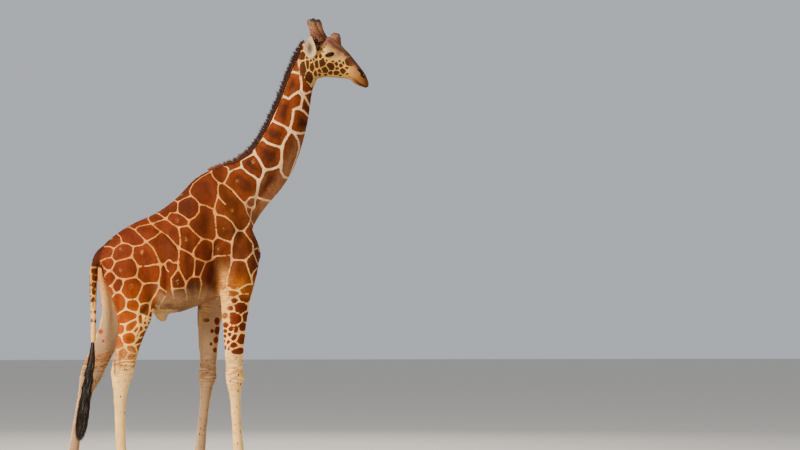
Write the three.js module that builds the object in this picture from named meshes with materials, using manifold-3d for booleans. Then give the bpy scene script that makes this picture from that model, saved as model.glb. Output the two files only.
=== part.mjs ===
// A standing reticulated giraffe bull at life size, as a still model.
// Millimetres, +Z up, +X the way the animal faces, +Y to its left.
// The origin is on the floor under the middle of the whole animal. The shapes are drawn a little
// ahead of it, about a line through the girth, and set back by originX at the end.

import * as THREE from 'three';
import { mergeVertices } from 'three/addons/utils/BufferGeometryUtils.js';
import Module from 'manifold-3d';

const wasm = await Module();
wasm.setup();

// ---------------------------------------------------------------- driving dimensions

// Thickness of the cuts that part the flesh, and clearance round a piece set on it.
const partingCut = 0.5;
const fitGap = 0.4;
// A length past either side of the body, and the middle of the whole animal along X.
const wide = 1600;
const originX = 52;

// Where the flesh is parted: straight cuts seen from the side, from one [X, Z] point to another.
const neckCut = { from: [276, 3350], to: [444, 2520] };
const headCut = { from: [838, 4480], to: [1022, 3985] };
const tailCut = { from: [-1240, 2192], to: [-1119, 2192] };
const foreLegCut = { from: [-180, 1765], to: [400, 1765] };
const hindLegCut = { from: [-1230, 1690], to: [-550, 1690] };
const innerLegY = 60;

// The trunk and neck are one tube. Each rib runs from the top line to the bottom line.
const bodyRibs = [
  { name: 'end of pelvis', top: [-1136, 2338], low: [-1118, 2275], width: 90 },
  { name: 'tail head', top: [-1096, 2384], low: [-1070, 2060], width: 270 },
  { name: 'croup', top: [-996, 2484], low: [-985, 1900], width: 440, belly: 0.05 },
  { name: 'hips', top: [-853, 2587], low: [-820, 1800], width: 560, belly: 0.08 },
  { name: 'loin', top: [-700, 2664], low: [-670, 1748], width: 620, belly: 0.15 },
  { name: 'last rib', top: [-560, 2728], low: [-530, 1724], width: 680, belly: 0.2 },
  { name: 'barrel', top: [-440, 2812], low: [-398, 1718], width: 710, belly: 0.25 },
  { name: 'girth', top: [-319, 2917], low: [-279, 1740], width: 690, belly: 0.32 },
  { name: 'shoulder blade', top: [-192, 3066], low: [-120, 1800], width: 620, belly: 0.35 },
  { name: 'withers', top: [-60, 3150], low: [70, 1870], width: 540, belly: 0.33 },
  { name: 'forechest', top: [60, 3190], low: [262, 1990], width: 480, belly: 0.25 },
  { name: 'breast', top: [130, 3212], low: [415, 2130], width: 410, belly: 0.15 },
  { name: 'breast point', top: [172, 3224], low: [498, 2306], width: 360, belly: 0.08 },
  { name: 'root of neck', top: [208, 3236], low: [418, 2450], width: 330, belly: 0.04 },
  { name: 'hollow above breast', top: [243, 3249], low: [406, 2570], width: 320 },
  { name: 'low neck', top: [300, 3280], low: [530, 2772], width: 318 },
  { name: 'quarter neck', top: [372, 3330], low: [690, 2960], width: 300 },
  { name: 'third neck', top: [440, 3410], low: [800, 3130], width: 284 },
  { name: 'middle neck', top: [505, 3513], low: [880, 3330], width: 264 },
  { name: 'upper middle neck', top: [570, 3636], low: [934, 3515], width: 244 },
  { name: 'upper neck', top: [641, 3788], low: [970, 3690], width: 226 },
  { name: 'under poll', top: [700, 3925], low: [992, 3850], width: 212 },
  { name: 'throat', top: [750, 4066], low: [1014, 3990], width: 204 },
  { name: 'behind jaw', top: [793, 4170], low: [1052, 4082], width: 196 },
  { name: 'nape', top: [840, 4282], low: [1040, 4180], width: 178 },
  { name: 'inside poll', top: [884, 4376], low: [1020, 4290], width: 140 },
];
const bodyStepsPerRib = 2;
const bodyAround = 20;

// Limbs: joints give the line of a limb. A section sits at a joint number, whole or between two.
const sheathJoints = [[-500, 0, 1800], [-512, 0, 1735], [-496, 0, 1685], [-476, 0, 1650]];
const sheathSections = [
  { name: 'root', at: 0, depth: 200, width: 130 },
  { name: 'fold', at: 1, depth: 150, width: 110 },
  { name: 'body', at: 2, depth: 88, width: 84 },
  { name: 'tip', at: 3, depth: 52, width: 54 },
];
const sheathSteps = 6;
const sheathAround = 12;

const foreSections = [
  { name: 'blade top', at: 0, depth: 230, width: 90 },
  { name: 'blade', at: 0.5, depth: 400, width: 170 },
  { name: 'shoulder', at: 1, depth: 448, width: 225 },
  { name: 'upper arm', at: 1.5, depth: 372, width: 226 },
  { name: 'above elbow', at: 1.8, depth: 340, width: 205 },
  { name: 'elbow', at: 2, depth: 300, width: 186 },
  { name: 'top of forearm', at: 2.2, depth: 256, width: 162 },
  { name: 'forearm', at: 2.4, depth: 226, width: 144 },
  { name: 'middle of forearm', at: 2.62, depth: 202, width: 130 },
  { name: 'above knee', at: 2.84, depth: 178, width: 122 },
  { name: 'knee', at: 3, depth: 192, width: 140 },
  { name: 'below knee', at: 3.12, depth: 158, width: 122 },
  { name: 'top of cannon', at: 3.24, depth: 116, width: 98 },
  { name: 'cannon', at: 3.45, depth: 107, width: 88 },
  { name: 'low cannon', at: 3.8, depth: 112, width: 94 },
  { name: 'fetlock', at: 4, depth: 138, width: 132 },
  { name: 'pastern', at: 4.55, depth: 122, width: 128 },
  { name: 'coronet', at: 5, depth: 150, width: 154 },
  { name: 'hoof core', at: 6, depth: 120, width: 120 },
];

// Blade, shoulder, elbow, knee, fetlock, coronet and hoof core.
const foreLegs = {
  right: [
    [0, -95, 2950],
    [250, -145, 2330],
    [214, -200, 1800],
    [211, -196, 1093],
    [264, -190, 268],
    [289, -190, 140],
    [300, -190, 60],
  ],
  left: [
    [-20, 95, 2950],
    [196, 145, 2330],
    [8, 200, 1800],
    [-29, 196, 1105],
    [-102, 190, 268],
    [-78, 190, 140],
    [-66, 190, 60],
  ],
};

const hindSections = [
  { name: 'hip', at: 0, depth: 300, width: 150 },
  { name: 'upper thigh', at: 0.5, depth: 540, width: 250 },
  { name: 'thigh', at: 1, depth: 600, width: 280 },
  { name: 'low thigh', at: 1.5, depth: 500, width: 240 },
  { name: 'stifle', at: 2, depth: 368, width: 196 },
  { name: 'top of gaskin', at: 2.25, depth: 288, width: 164 },
  { name: 'gaskin', at: 2.5, depth: 250, width: 140, back: -4 },
  { name: 'low gaskin', at: 2.75, depth: 236, width: 118, back: -8 },
  { name: 'hock point', at: 2.95, depth: 238, width: 122, back: -8 },
  { name: 'hock', at: 3.08, depth: 204, width: 126, back: -4 },
  { name: 'below hock', at: 3.2, depth: 152, width: 108 },
  { name: 'top of cannon', at: 3.35, depth: 124, width: 94 },
  { name: 'cannon', at: 3.6, depth: 112, width: 86 },
  { name: 'low cannon', at: 3.82, depth: 110, width: 90 },
  { name: 'fetlock', at: 4, depth: 134, width: 130 },
  { name: 'pastern', at: 4.55, depth: 116, width: 124 },
  { name: 'coronet', at: 5, depth: 146, width: 148 },
  { name: 'hoof core', at: 6, depth: 116, width: 116 },
];

// Hip, thigh, stifle, hock, fetlock, coronet and hoof core.
const hindLegs = {
  right: [
    [-860, -110, 2400],
    [-795, -185, 2110],
    [-782, -210, 1690],
    [-902, -203, 1130],
    [-892, -200, 268],
    [-865, -200, 140],
    [-851, -200, 60],
  ],
  left: [
    [-870, 110, 2400],
    [-855, 185, 2110],
    [-925, 210, 1700],
    [-1196, 203, 1105],
    [-1362, 200, 268],
    [-1337, 200, 140],
    [-1323, 200, 60],
  ],
};
const legSteps = 28;
const legAround = 10;

// A foot: two claws in one rounded block, parted by the cleft and topped by the sloping coronet.
const foot = {
  length: 285,
  width: 200,
  topLength: 190,
  topWidth: 165,
  height: 185,
  toeReach: 40,
  coronetZ: 150,
  belly: 0.1,
  square: 0.8,
  steps: 2,
  around: 16,
};
const footCutSize = [440, 300];
const coronetSlope = 14;
const cleftWidth = 8;

const tailJoints = [
  [-1050, 0, 2370],
  [-1122, 0, 2318],
  [-1164, 0, 2220],
  [-1176, 0, 2060],
  [-1174, 0, 1760],
  [-1176, 0, 1425],
];
const tailSections = [
  { name: 'root', at: 0, depth: 100, width: 110 },
  { name: 'dock', at: 1, depth: 84, width: 100 },
  { name: 'upper tail', at: 2, depth: 86, width: 90 },
  { name: 'tail', at: 3, depth: 84, width: 74 },
  { name: 'low tail', at: 4, depth: 60, width: 52 },
  { name: 'end', at: 5, depth: 50, width: 44 },
];
const tailSteps = 12;
const tailAround = 10;

const tuftJoints = [
  [-1176, 0, 1424.4],
  [-1177, 0, 1385],
  [-1193, 0, 1300],
  [-1213, 0, 1140],
  [-1236, 0, 940],
  [-1272, 0, 740],
  [-1290, 0, 580],
  [-1312, 0, 450],
];
const tuftSections = [
  { name: 'top', at: 0, depth: 58, width: 54 },
  { name: 'shoulder', at: 1.2, depth: 122, width: 104 },
  { name: 'full', at: 2.2, depth: 152, width: 124 },
  { name: 'middle', at: 4, depth: 146, width: 112 },
  { name: 'low', at: 5.2, depth: 150, width: 94 },
  { name: 'ends', at: 6.2, depth: 124, width: 66 },
  { name: 'tip', at: 7, depth: 44, width: 24 },
];
const tuftSteps = 14;

// The mane stands on the top line between two ribs, with its heights spread evenly along it.
const mane = { firstRib: 9, lastRib: 25, width: 44, belly: 0.3, around: 8 };
const maneHeights = [8, 40, 54, 58, 60, 62, 62, 58, 54, 40];

// The head is shaped facing +X about the poll, tilted a little and turned to the animal's right.
const poll = [880, 0, 4291];
const headTurn = -21;
const headTilt = 4;
const headRibs = [
  { name: 'back of skull', top: [14, 100], low: [48, -10], width: 110 },
  { name: 'poll', top: [34, 158], low: [80, -100], width: 160 },
  { name: 'ears', top: [78, 190], low: [130, -205], width: 192 },
  { name: 'crown', top: [160, 206], low: [182, -215], width: 216, belly: -0.12 },
  { name: 'forehead', top: [262, 212], low: [238, -200], width: 236, belly: -0.26 },
  { name: 'eyes', top: [345, 200], low: [296, -202], width: 248, belly: -0.34 },
  { name: 'below eyes', top: [408, 150], low: [350, -207], width: 224, belly: -0.28 },
  { name: 'face', top: [454, 92], low: [402, -212], width: 190, belly: -0.16 },
  { name: 'nose bridge', top: [505, 42], low: [455, -217], width: 160, belly: -0.08 },
  { name: 'nose', top: [562, -30], low: [508, -230], width: 142 },
  { name: 'nostrils', top: [622, -106], low: [552, -266], width: 138 },
  { name: 'upper lip', top: [672, -176], low: [594, -292], width: 132 },
  { name: 'lips', top: [697, -240], low: [636, -304], width: 112 },
  { name: 'lip tip', top: [704, -276], low: [668, -314], width: 84 },
  { name: 'front of lip', top: [704, -292], low: [690, -312], width: 44 },
];
const headSteps = 24;
const headAround = 16;

// The two long horns, and the low round boss in the middle of the forehead.
const hornJoints = [[204, 78, 150], [177, 94, 262], [142, 110, 386]];
const hornSections = [
  { name: 'root', at: 0, depth: 156, width: 124 },
  { name: 'base', at: 0.4, depth: 140, width: 108 },
  { name: 'shaft', at: 0.8, depth: 102, width: 88 },
  { name: 'middle', at: 1.3, depth: 84, width: 80 },
  { name: 'knob', at: 1.75, depth: 88, width: 84 },
  { name: 'rim', at: 1.94, depth: 80, width: 76 },
  { name: 'crown', at: 2, depth: 52, width: 50 },
];
const hornSteps = 8;
const hornAround = 12;
const bossJoints = [[350, 0, 110], [366, 0, 184], [376, 0, 242]];
const bossSections = [
  { name: 'root', at: 0, depth: 170, width: 130 },
  { name: 'base', at: 0.7, depth: 126, width: 110 },
  { name: 'swell', at: 1.4, depth: 98, width: 92 },
  { name: 'shoulder', at: 1.8, depth: 74, width: 72 },
  { name: 'top', at: 2, depth: 34, width: 34 },
];
const bossSteps = 6;

// An ear is a pointed leaf, hollow on its outer side.
const ear = {
  root: [134, 92, 6],
  tip: [166, 196, 212],
  width: 164,
  stalk: 50,
  hollow: 34,
  thickness: 16,
  turn: 20,
  rootPower: 0.72,
  edgePower: 0.8,
  tipWidth: 8,
};
const earSteps = 8;
const earAround = 10;

const eye = { radius: 28, place: [330, 103, 20] };
const eyeAround = 12;
const eyeSteps = 8;

// ---------------------------------------------------------------- shape tools

// Catmull-Rom value at station s, whole or between two, of an evenly spaced row of numbers.
function smoothValue(values, s) {
  const last = values.length - 1;
  const i = Math.min(Math.floor(s), last - 1);
  const f = s - i;
  const a = values[Math.max(i - 1, 0)];
  const b = values[i];
  const c = values[i + 1];
  const d = values[Math.min(i + 2, last)];
  return b + 0.5 * f * (c - a + f * (2 * a - 5 * b + 4 * c - d + f * (3 * (b - c) + d - a)));
}

// The values of one key of a list of stations, 0 where a station leaves it out.
function keyed(stations, key) {
  return stations.map((station) => station[key] ?? 0);
}

// A power of a number that keeps its sign: under 1 it squares up a round section.
function signedPower(value, power) {
  return Math.sign(value) * Math.abs(value) ** power;
}

// A geometry as a closed solid with its faces pointing out.
function solidFrom(geometry) {
  const bare = geometry.clone();
  bare.deleteAttribute('normal');
  bare.deleteAttribute('uv');
  const merged = mergeVertices(bare, 1e-3);
  const vertProperties = new Float32Array(merged.attributes.position.array);
  const triVerts = new Uint32Array(merged.index.array);
  const solid = new wasm.Manifold(new wasm.Mesh({ numProp: 3, vertProperties, triVerts }));
  if (solid.volume() > 0) return solid;
  triVerts.reverse();
  return new wasm.Manifold(new wasm.Mesh({ numProp: 3, vertProperties, triVerts }));
}

function geometryFrom(solid) {
  const { vertProperties, triVerts } = solid.getMesh();
  return new THREE.BufferGeometry()
    .setAttribute('position', new THREE.BufferAttribute(vertProperties, 3))
    .setIndex(new THREE.BufferAttribute(triVerts, 1));
}

function joined(solids) {
  return solids.reduce((sum, next) => sum.add(next));
}

// A closed tube: a cylinder whose rings are bent to ring(s), for s from 0 to lastStation.
// A ring has a centre, an up and a side direction, a depth and a width measured from the centre,
// a belly that moves its widest place down, a curl that lifts its sides, a square power, and
// a flat foot if it stands on something.
function tube(ring, lastStation, steps, around) {
  const geometry = new THREE.CylinderGeometry(1, 1, 1, around, steps, false);
  const places = geometry.attributes.position;
  const point = new THREE.Vector3();
  for (let i = 0; i < places.count; i++) {
    point.fromBufferAttribute(places, i);
    const at = ring((0.5 - point.y) * lastStation);
    const rise = at.flatFoot && point.z < -0.1 ? -1 : signedPower(point.z, at.square ?? 1);
    const spread = signedPower(point.x, at.square ?? 1) * (1 - (at.belly ?? 0) * point.z);
    const lift = rise * at.depth + (at.curl ?? 0) * spread ** 2;
    point.copy(at.centre).addScaledVector(at.up, lift).addScaledVector(at.side, spread * at.width);
    places.setXYZ(i, point.x, point.y, point.z);
  }
  return solidFrom(geometry);
}

const leftward = new THREE.Vector3(0, 1, 0);

// A tube through ribs that lie across the body, each from its top point to its low point.
function ribbed(ribs, steps, around, swell = 0) {
  const [topX, topZ, lowX, lowZ] = ['top', 'low'].flatMap((end) => {
    return [0, 1].map((axis) => ribs.map((rib) => rib[end][axis]));
  });
  const widths = keyed(ribs, 'width');
  const bellies = keyed(ribs, 'belly');
  const ring = (s) => {
    const top = new THREE.Vector3(smoothValue(topX, s), 0, smoothValue(topZ, s));
    const low = new THREE.Vector3(smoothValue(lowX, s), 0, smoothValue(lowZ, s));
    const up = top.clone().sub(low);
    const depth = up.length() / 2 + swell;
    const width = smoothValue(widths, s) / 2 + swell;
    const centre = top.add(low).multiplyScalar(0.5);
    return { centre, up: up.normalize(), side: leftward, depth, width, belly: smoothValue(bellies, s) };
  };
  return tube(ring, ribs.length - 1, steps, around);
}

// A tube along joints, with its sections square to its line.
function limb(joints, sections, steps, around) {
  const line = new THREE.CatmullRomCurve3(joints.map((joint) => new THREE.Vector3(...joint)));
  const keys = ['at', 'depth', 'width', 'back'];
  const [stops, depths, widths, backs] = keys.map((key) => keyed(sections, key));
  const ring = (s) => {
    const t = THREE.MathUtils.clamp(smoothValue(stops, s) / (joints.length - 1), 0, 1);
    const run = line.getTangent(t);
    const up = new THREE.Vector3(run.z, 0, -run.x).normalize();
    const side = new THREE.Vector3().crossVectors(up, run).normalize();
    const centre = line.getPoint(t).addScaledVector(up, smoothValue(backs, s));
    return { centre, up, side, depth: smoothValue(depths, s) / 2, width: smoothValue(widths, s) / 2 };
  };
  return tube(ring, sections.length - 1, steps, around);
}

// A box by its size, its centre and its turn in degrees about Y and then about Z.
function block(size, centre, turnY = 0, turnZ = 0) {
  const geometry = new THREE.BoxGeometry(...size)
    .rotateY(THREE.MathUtils.degToRad(turnY))
    .rotateZ(THREE.MathUtils.degToRad(turnZ))
    .translate(...centre);
  return solidFrom(geometry);
}

// ---------------------------------------------------------------- trunk, legs and feet

function body() {
  return ribbed(bodyRibs, (bodyRibs.length - 1) * bodyStepsPerRib, bodyAround);
}

function sheath() {
  return limb(sheathJoints, sheathSections, sheathSteps, sheathAround);
}

// The claws' block runs from the sole up past the coronet.
function footBlock(x, y) {
  const ring = (s) => ({
    centre: new THREE.Vector3(x + foot.toeReach * (s - 0.5), y, foot.height * (1 - s)),
    up: new THREE.Vector3(1, 0, 0),
    side: leftward,
    depth: THREE.MathUtils.lerp(foot.topLength, foot.length, s) / 2,
    width: THREE.MathUtils.lerp(foot.topWidth, foot.width, s) / 2,
    belly: foot.belly,
    square: foot.square,
  });
  return tube(ring, 1, foot.steps, foot.around);
}

function coronetCut(x, y, thickness) {
  return block([...footCutSize, thickness], [x, y, foot.coronetZ], -coronetSlope);
}

function cleft(x, y) {
  return block([footCutSize[0], cleftWidth, wide], [x, y, 0]);
}

function legs() {
  const fore = Object.values(foreLegs).map((joints) => limb(joints, foreSections, legSteps, legAround));
  const hind = Object.values(hindLegs).map((joints) => limb(joints, hindSections, legSteps, legAround));
  return [...fore, ...hind];
}

// ---------------------------------------------------------------- head

// Carries a shape made about the poll to its place on the neck.
function onNeck(solid) {
  const geometry = geometryFrom(solid)
    .rotateX(THREE.MathUtils.degToRad(headTilt))
    .rotateZ(THREE.MathUtils.degToRad(headTurn))
    .translate(...poll);
  return solidFrom(geometry);
}

function mirrored(joints, side) {
  return joints.map(([x, y, z]) => [x, side * y, z]);
}

function skull(swell = 0) {
  return ribbed(headRibs, headSteps, headAround, swell);
}

function eyeBall(side, radius) {
  const [x, y, z] = eye.place;
  return solidFrom(new THREE.SphereGeometry(radius, eyeAround, eyeSteps).translate(x, side * y, z));
}

function head() {
  const sockets = [-1, 1].map((side) => eyeBall(side, eye.radius + fitGap));
  return skull().subtract(joined(sockets));
}

function horn(side) {
  return limb(mirrored(hornJoints, side), hornSections, hornSteps, hornAround).subtract(skull(fitGap));
}

function boss() {
  return limb(bossJoints, bossSections, bossSteps, hornAround).subtract(skull(fitGap));
}

// The leaf swells from its stalk, then narrows to its tip, with its two edges curled outwards.
function earLeaf(side) {
  const [root, tip] = mirrored([ear.root, ear.tip], side).map((end) => new THREE.Vector3(...end));
  const run = tip.clone().sub(root).normalize();
  const across = new THREE.Vector3(1, 0, 0).addScaledVector(run, -run.x).normalize();
  across.applyAxisAngle(run, side * THREE.MathUtils.degToRad(ear.turn));
  const outward = new THREE.Vector3().crossVectors(run, across).multiplyScalar(side).normalize();
  const ring = (t) => {
    const leaf = Math.sin(Math.PI * t ** ear.rootPower) ** ear.edgePower;
    const stalk = ear.stalk * Math.max(0, 1 - 4 * t);
    return {
      centre: root.clone().lerp(tip, t).addScaledVector(outward, -0.3 * ear.hollow * leaf),
      up: outward,
      side: across,
      depth: Math.max(ear.thickness * (1 - 0.5 * t), stalk) / 2,
      width: Math.max(THREE.MathUtils.lerp(ear.stalk, ear.tipWidth, t), ear.width * leaf) / 2,
      curl: ear.hollow * leaf,
    };
  };
  return tube(ring, 1, earSteps, earAround).subtract(skull(fitGap));
}

// ---------------------------------------------------------------- tail and mane

function tail() {
  return limb(tailJoints, tailSections, tailSteps, tailAround);
}

function tailTuft() {
  return limb(tuftJoints, tuftSections, tuftSteps, tailAround);
}

// The mane's rings stand at the body's own rings, a fit gap off its top line.
function maneRidge() {
  const topX = bodyRibs.map((rib) => rib.top[0]);
  const topZ = bodyRibs.map((rib) => rib.top[1]);
  const ribCount = mane.lastRib - mane.firstRib;
  const reach = 0.1;
  const ring = (s) => {
    const station = mane.firstRib + s;
    const [backX, foreX] = [-reach, reach].map((step) => smoothValue(topX, station + step));
    const [backZ, foreZ] = [-reach, reach].map((step) => smoothValue(topZ, station + step));
    const up = new THREE.Vector3(backZ - foreZ, 0, foreX - backX).normalize();
    const height = smoothValue(maneHeights, (s / ribCount) * (maneHeights.length - 1));
    const centre = new THREE.Vector3(smoothValue(topX, station), 0, smoothValue(topZ, station))
      .addScaledVector(up, fitGap + height / 2);
    return {
      centre,
      up,
      side: leftward,
      depth: height / 2,
      width: mane.width / 2,
      belly: mane.belly,
      flatFoot: true,
    };
  };
  const ridge = tube(ring, ribCount, ribCount * bodyStepsPerRib, mane.around);
  return ridge.subtract(onNeck(skull(fitGap)));
}

// ---------------------------------------------------------------- parting cuts

// A thin cut between two points seen from the side, from one level of Y to another.
function partingBlock({ from, to }, lowY, highY, turnZ = 0) {
  const [runX, runZ] = [to[0] - from[0], to[1] - from[1]];
  const centre = [(from[0] + to[0]) / 2, (lowY + highY) / 2, (from[1] + to[1]) / 2];
  const turnY = THREE.MathUtils.radToDeg(Math.atan2(-runZ, runX));
  return block([Math.hypot(runX, runZ), highY - lowY, partingCut], centre, turnY, turnZ);
}

function fleshCuts() {
  const cuts = [
    partingBlock(neckCut, -wide, wide),
    partingBlock(headCut, -wide, wide, headTurn),
    partingBlock(tailCut, -wide, wide),
  ];
  for (const cut of [foreLegCut, hindLegCut]) {
    cuts.push(partingBlock(cut, innerLegY, wide), partingBlock(cut, -wide, -innerLegY));
  }
  for (const joints of [...Object.values(foreLegs), ...Object.values(hindLegs)]) {
    const [x, y] = joints.at(-1);
    cuts.push(coronetCut(x, y, partingCut));
  }
  return joined(cuts);
}

// ---------------------------------------------------------------- the parted flesh and the named meshes

const coats = {
  hide: { color: 0x9a5530, roughness: 0.85, metalness: 0 },
  pale: { color: 0xcbb394, roughness: 0.85, metalness: 0 },
  horn: { color: 0x7d5a3c, roughness: 0.7, metalness: 0 },
  hoof: { color: 0x4a3d33, roughness: 0.55, metalness: 0 },
  maneHair: { color: 0x4a2a20, roughness: 0.9, metalness: 0 },
  tuftHair: { color: 0x1c1512, roughness: 0.75, metalness: 0 },
  eye: { color: 0x140d0a, roughness: 0.08, metalness: 0 },
};

// A point inside each piece of flesh names that piece once the cuts have parted it.
const fleshNames = {
  trunk: { inside: [-400, 0, 2300], coat: coats.hide },
  neck: { inside: [760, 0, 3600], coat: coats.hide },
  head: { inside: [1200, -90, 4200], coat: coats.hide },
  tail: { inside: [-1176, 0, 1800], coat: coats.hide },
  leg_fore_right: { inside: [212, -196, 900], coat: coats.pale },
  leg_fore_left: { inside: [-60, 196, 900], coat: coats.pale },
  leg_hind_right: { inside: [-914, -200, 900], coat: coats.pale },
  leg_hind_left: { inside: [-1230, 200, 900], coat: coats.pale },
};
const probeSize = 2;

const giraffe = new THREE.Group();
const standing = new THREE.Group();
standing.position.x = -originX;
giraffe.add(standing);

function addMesh(name, solid, coat) {
  const mesh = new THREE.Mesh(geometryFrom(solid), new THREE.MeshStandardMaterial(coat));
  mesh.name = name;
  standing.add(mesh);
}

function addFlesh() {
  const whole = joined([body(), sheath(), tail(), onNeck(head()), ...legs()]);
  const pieces = whole.subtract(fleshCuts()).decompose();
  for (const [name, { inside, coat }] of Object.entries(fleshNames)) {
    const probe = block([probeSize, probeSize, probeSize], inside);
    addMesh(name, pieces.find((piece) => piece.intersect(probe).volume() > 0), coat);
  }
}

function addHeadPieces() {
  addMesh('horn_middle', onNeck(boss()), coats.horn);
  for (const [name, side] of [['right', -1], ['left', 1]]) {
    addMesh(`horn_${name}`, onNeck(horn(side)), coats.horn);
    addMesh(`ear_${name}`, onNeck(earLeaf(side)), coats.hide);
    addMesh(`eye_${name}`, onNeck(eyeBall(side, eye.radius)), coats.eye);
  }
}

// Each foot's claws lie to the right and the left of its cleft.
function addHooves() {
  for (const [end, pair] of [['fore', foreLegs], ['hind', hindLegs]]) {
    for (const [side, joints] of Object.entries(pair)) {
      const [x, y] = joints.at(-1);
      const claws = footBlock(x, y).subtract(joined([coronetCut(x, y, fitGap), cleft(x, y)])).decompose();
      const pairUnderCoronet = claws.filter((claw) => claw.boundingBox().min[2] < fitGap);
      pairUnderCoronet.sort((a, b) => a.boundingBox().min[1] - b.boundingBox().min[1]);
      addMesh(`hoof_${end}_${side}_a`, pairUnderCoronet[0], coats.hoof);
      addMesh(`hoof_${end}_${side}_b`, pairUnderCoronet[1], coats.hoof);
    }
  }
}

addFlesh();
addHeadPieces();
addHooves();
addMesh('mane', maneRidge(), coats.maneHair);
addMesh('tail_tuft', tailTuft(), coats.tuftHair);

export default giraffe;
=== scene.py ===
import math
import random

import bmesh
import bpy
import numpy as np
from mathutils import Matrix, Vector, noise
from mathutils.bvhtree import BVHTree


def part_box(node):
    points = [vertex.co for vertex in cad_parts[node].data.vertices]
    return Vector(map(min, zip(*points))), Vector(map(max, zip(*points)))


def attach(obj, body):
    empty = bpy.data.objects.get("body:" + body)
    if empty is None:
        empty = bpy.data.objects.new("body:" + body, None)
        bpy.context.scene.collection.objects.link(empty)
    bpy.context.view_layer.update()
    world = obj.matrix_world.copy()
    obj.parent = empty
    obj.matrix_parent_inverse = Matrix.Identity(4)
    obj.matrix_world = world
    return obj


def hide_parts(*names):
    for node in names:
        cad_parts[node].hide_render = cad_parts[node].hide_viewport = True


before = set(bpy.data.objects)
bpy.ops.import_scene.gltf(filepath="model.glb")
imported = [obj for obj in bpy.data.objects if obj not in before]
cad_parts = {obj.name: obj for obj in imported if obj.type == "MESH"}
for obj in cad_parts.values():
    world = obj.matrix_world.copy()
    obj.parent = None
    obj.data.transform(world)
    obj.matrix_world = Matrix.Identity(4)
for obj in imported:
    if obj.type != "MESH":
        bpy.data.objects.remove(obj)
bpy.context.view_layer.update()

# the giraffe faces +X, its right side (-Y) is the one the camera sees, metres throughout
headPlace = dict(poll=(0.828, 0.0, 4.291), turn=-21.0, tilt=4.0)
flesh = ["trunk", "neck", "head", "tail", "leg_fore_right", "leg_fore_left", "leg_hind_right",
         "leg_hind_left", "ear_right", "ear_left"]
headMatrix = (Matrix.Translation(headPlace["poll"])
              @ Matrix.Rotation(math.radians(headPlace["turn"]), 4, "Z")
              @ Matrix.Rotation(math.radians(headPlace["tilt"]), 4, "X"))
headTurn = np.array(headMatrix.to_3x3())
headShift = np.array(headPlace["poll"])


def toHead(points):
    return (np.asarray(points) - headShift) @ headTurn


def fromHead(points):
    return np.asarray(points) @ headTurn.T + headShift


def smoothStep(low, high, value):
    t = np.clip((np.asarray(value, dtype=float) - low) / (high - low), 0, 1)
    return t * t * (3 - 2 * t)


def unit(v):
    v = np.asarray(v, dtype=float)
    return v / np.maximum(np.linalg.norm(v, axis=-1, keepdims=True), 1e-9)


# ---- small helpers around bpy

def pick(*objs):
    if bpy.context.object and bpy.context.object.mode != "OBJECT":
        bpy.ops.object.mode_set(mode="OBJECT")
    bpy.ops.object.select_all(action="DESELECT")
    for obj in objs:
        obj.select_set(True)
    bpy.context.view_layer.objects.active = objs[0]


def applyModifier(obj, kind, **settings):
    pick(obj)
    bpy.ops.object.modifier_add(type=kind)
    modifier = obj.modifiers[-1]
    for key, value in settings.items():
        setattr(modifier, key, value)
    bpy.ops.object.modifier_apply(modifier=modifier.name)


def copyOf(names, pieceName, swell=0.0):
    twins = []
    for name in names:
        twin = bpy.data.objects.new(pieceName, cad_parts[name].data.copy())
        bpy.context.collection.objects.link(twin)
        twin.data.materials.clear()
        twins.append(twin)
    pick(*twins)
    if len(twins) > 1:
        bpy.ops.object.join()
    piece = bpy.context.object
    piece.name = pieceName
    bm = bmesh.new()
    bm.from_mesh(piece.data)
    bmesh.ops.remove_doubles(bm, verts=bm.verts, dist=1e-5)
    bm.normal_update()
    for v in bm.verts:
        v.co += v.normal * swell
    bm.to_mesh(piece.data)
    bm.free()
    return piece


def coordsOf(mesh):
    co = np.empty(len(mesh.vertices) * 3)
    mesh.vertices.foreach_get("co", co)
    return co.reshape(-1, 3)


def setCoords(mesh, co):
    mesh.vertices.foreach_set("co", np.asarray(co, dtype=np.float32).ravel())
    mesh.update()


def normalsOf(mesh):
    n = np.empty(len(mesh.vertices) * 3)
    mesh.vertex_normals.foreach_get("vector", n)
    return n.reshape(-1, 3)


def edgesOf(mesh):
    e = np.empty(len(mesh.edges) * 2, dtype=np.int64)
    mesh.edges.foreach_get("vertices", e)
    return e.reshape(-1, 2)


def relax(co, edges, turns, amount=0.5):
    # neighbour averaging, with its own number of turns for each vertex
    a, b = edges[:, 0], edges[:, 1]
    count = np.bincount(a, minlength=len(co)) + np.bincount(b, minlength=len(co))
    count = np.maximum(count, 1)
    for turn in range(int(turns.max())):
        mean = np.empty_like(co)
        for k in range(3):
            total = np.bincount(a, co[b, k], minlength=len(co)) + np.bincount(b, co[a, k], minlength=len(co))
            mean[:, k] = total / count
        busy = np.clip(turns - turn, 0, 1)[:, None]
        co = co + busy * amount * (mean - co)
    return co


def meshPiece(name, verts, faces):
    mesh = bpy.data.meshes.new(name)
    mesh.from_pydata([tuple(v) for v in verts], [], [tuple(f) for f in faces])
    mesh.update()
    piece = bpy.data.objects.new(name, mesh)
    bpy.context.collection.objects.link(piece)
    return piece


def addValues(mesh, name, values, kind="FLOAT"):
    layer = mesh.attributes.new(name, kind, "POINT")
    if kind == "FLOAT":
        layer.data.foreach_set("value", np.asarray(values, dtype=np.float32))
    else:
        rgba = np.ones((len(values), 4), dtype=np.float32)
        rgba[:, :3] = values
        layer.data.foreach_set("color", rgba.ravel())


def finishPiece(piece, replaced, material=None):
    if material:
        piece.data.materials.clear()
        piece.data.materials.append(material)
    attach(piece, "root")
    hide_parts(*replaced)


# ---- camera, floor and soft studio light

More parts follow.
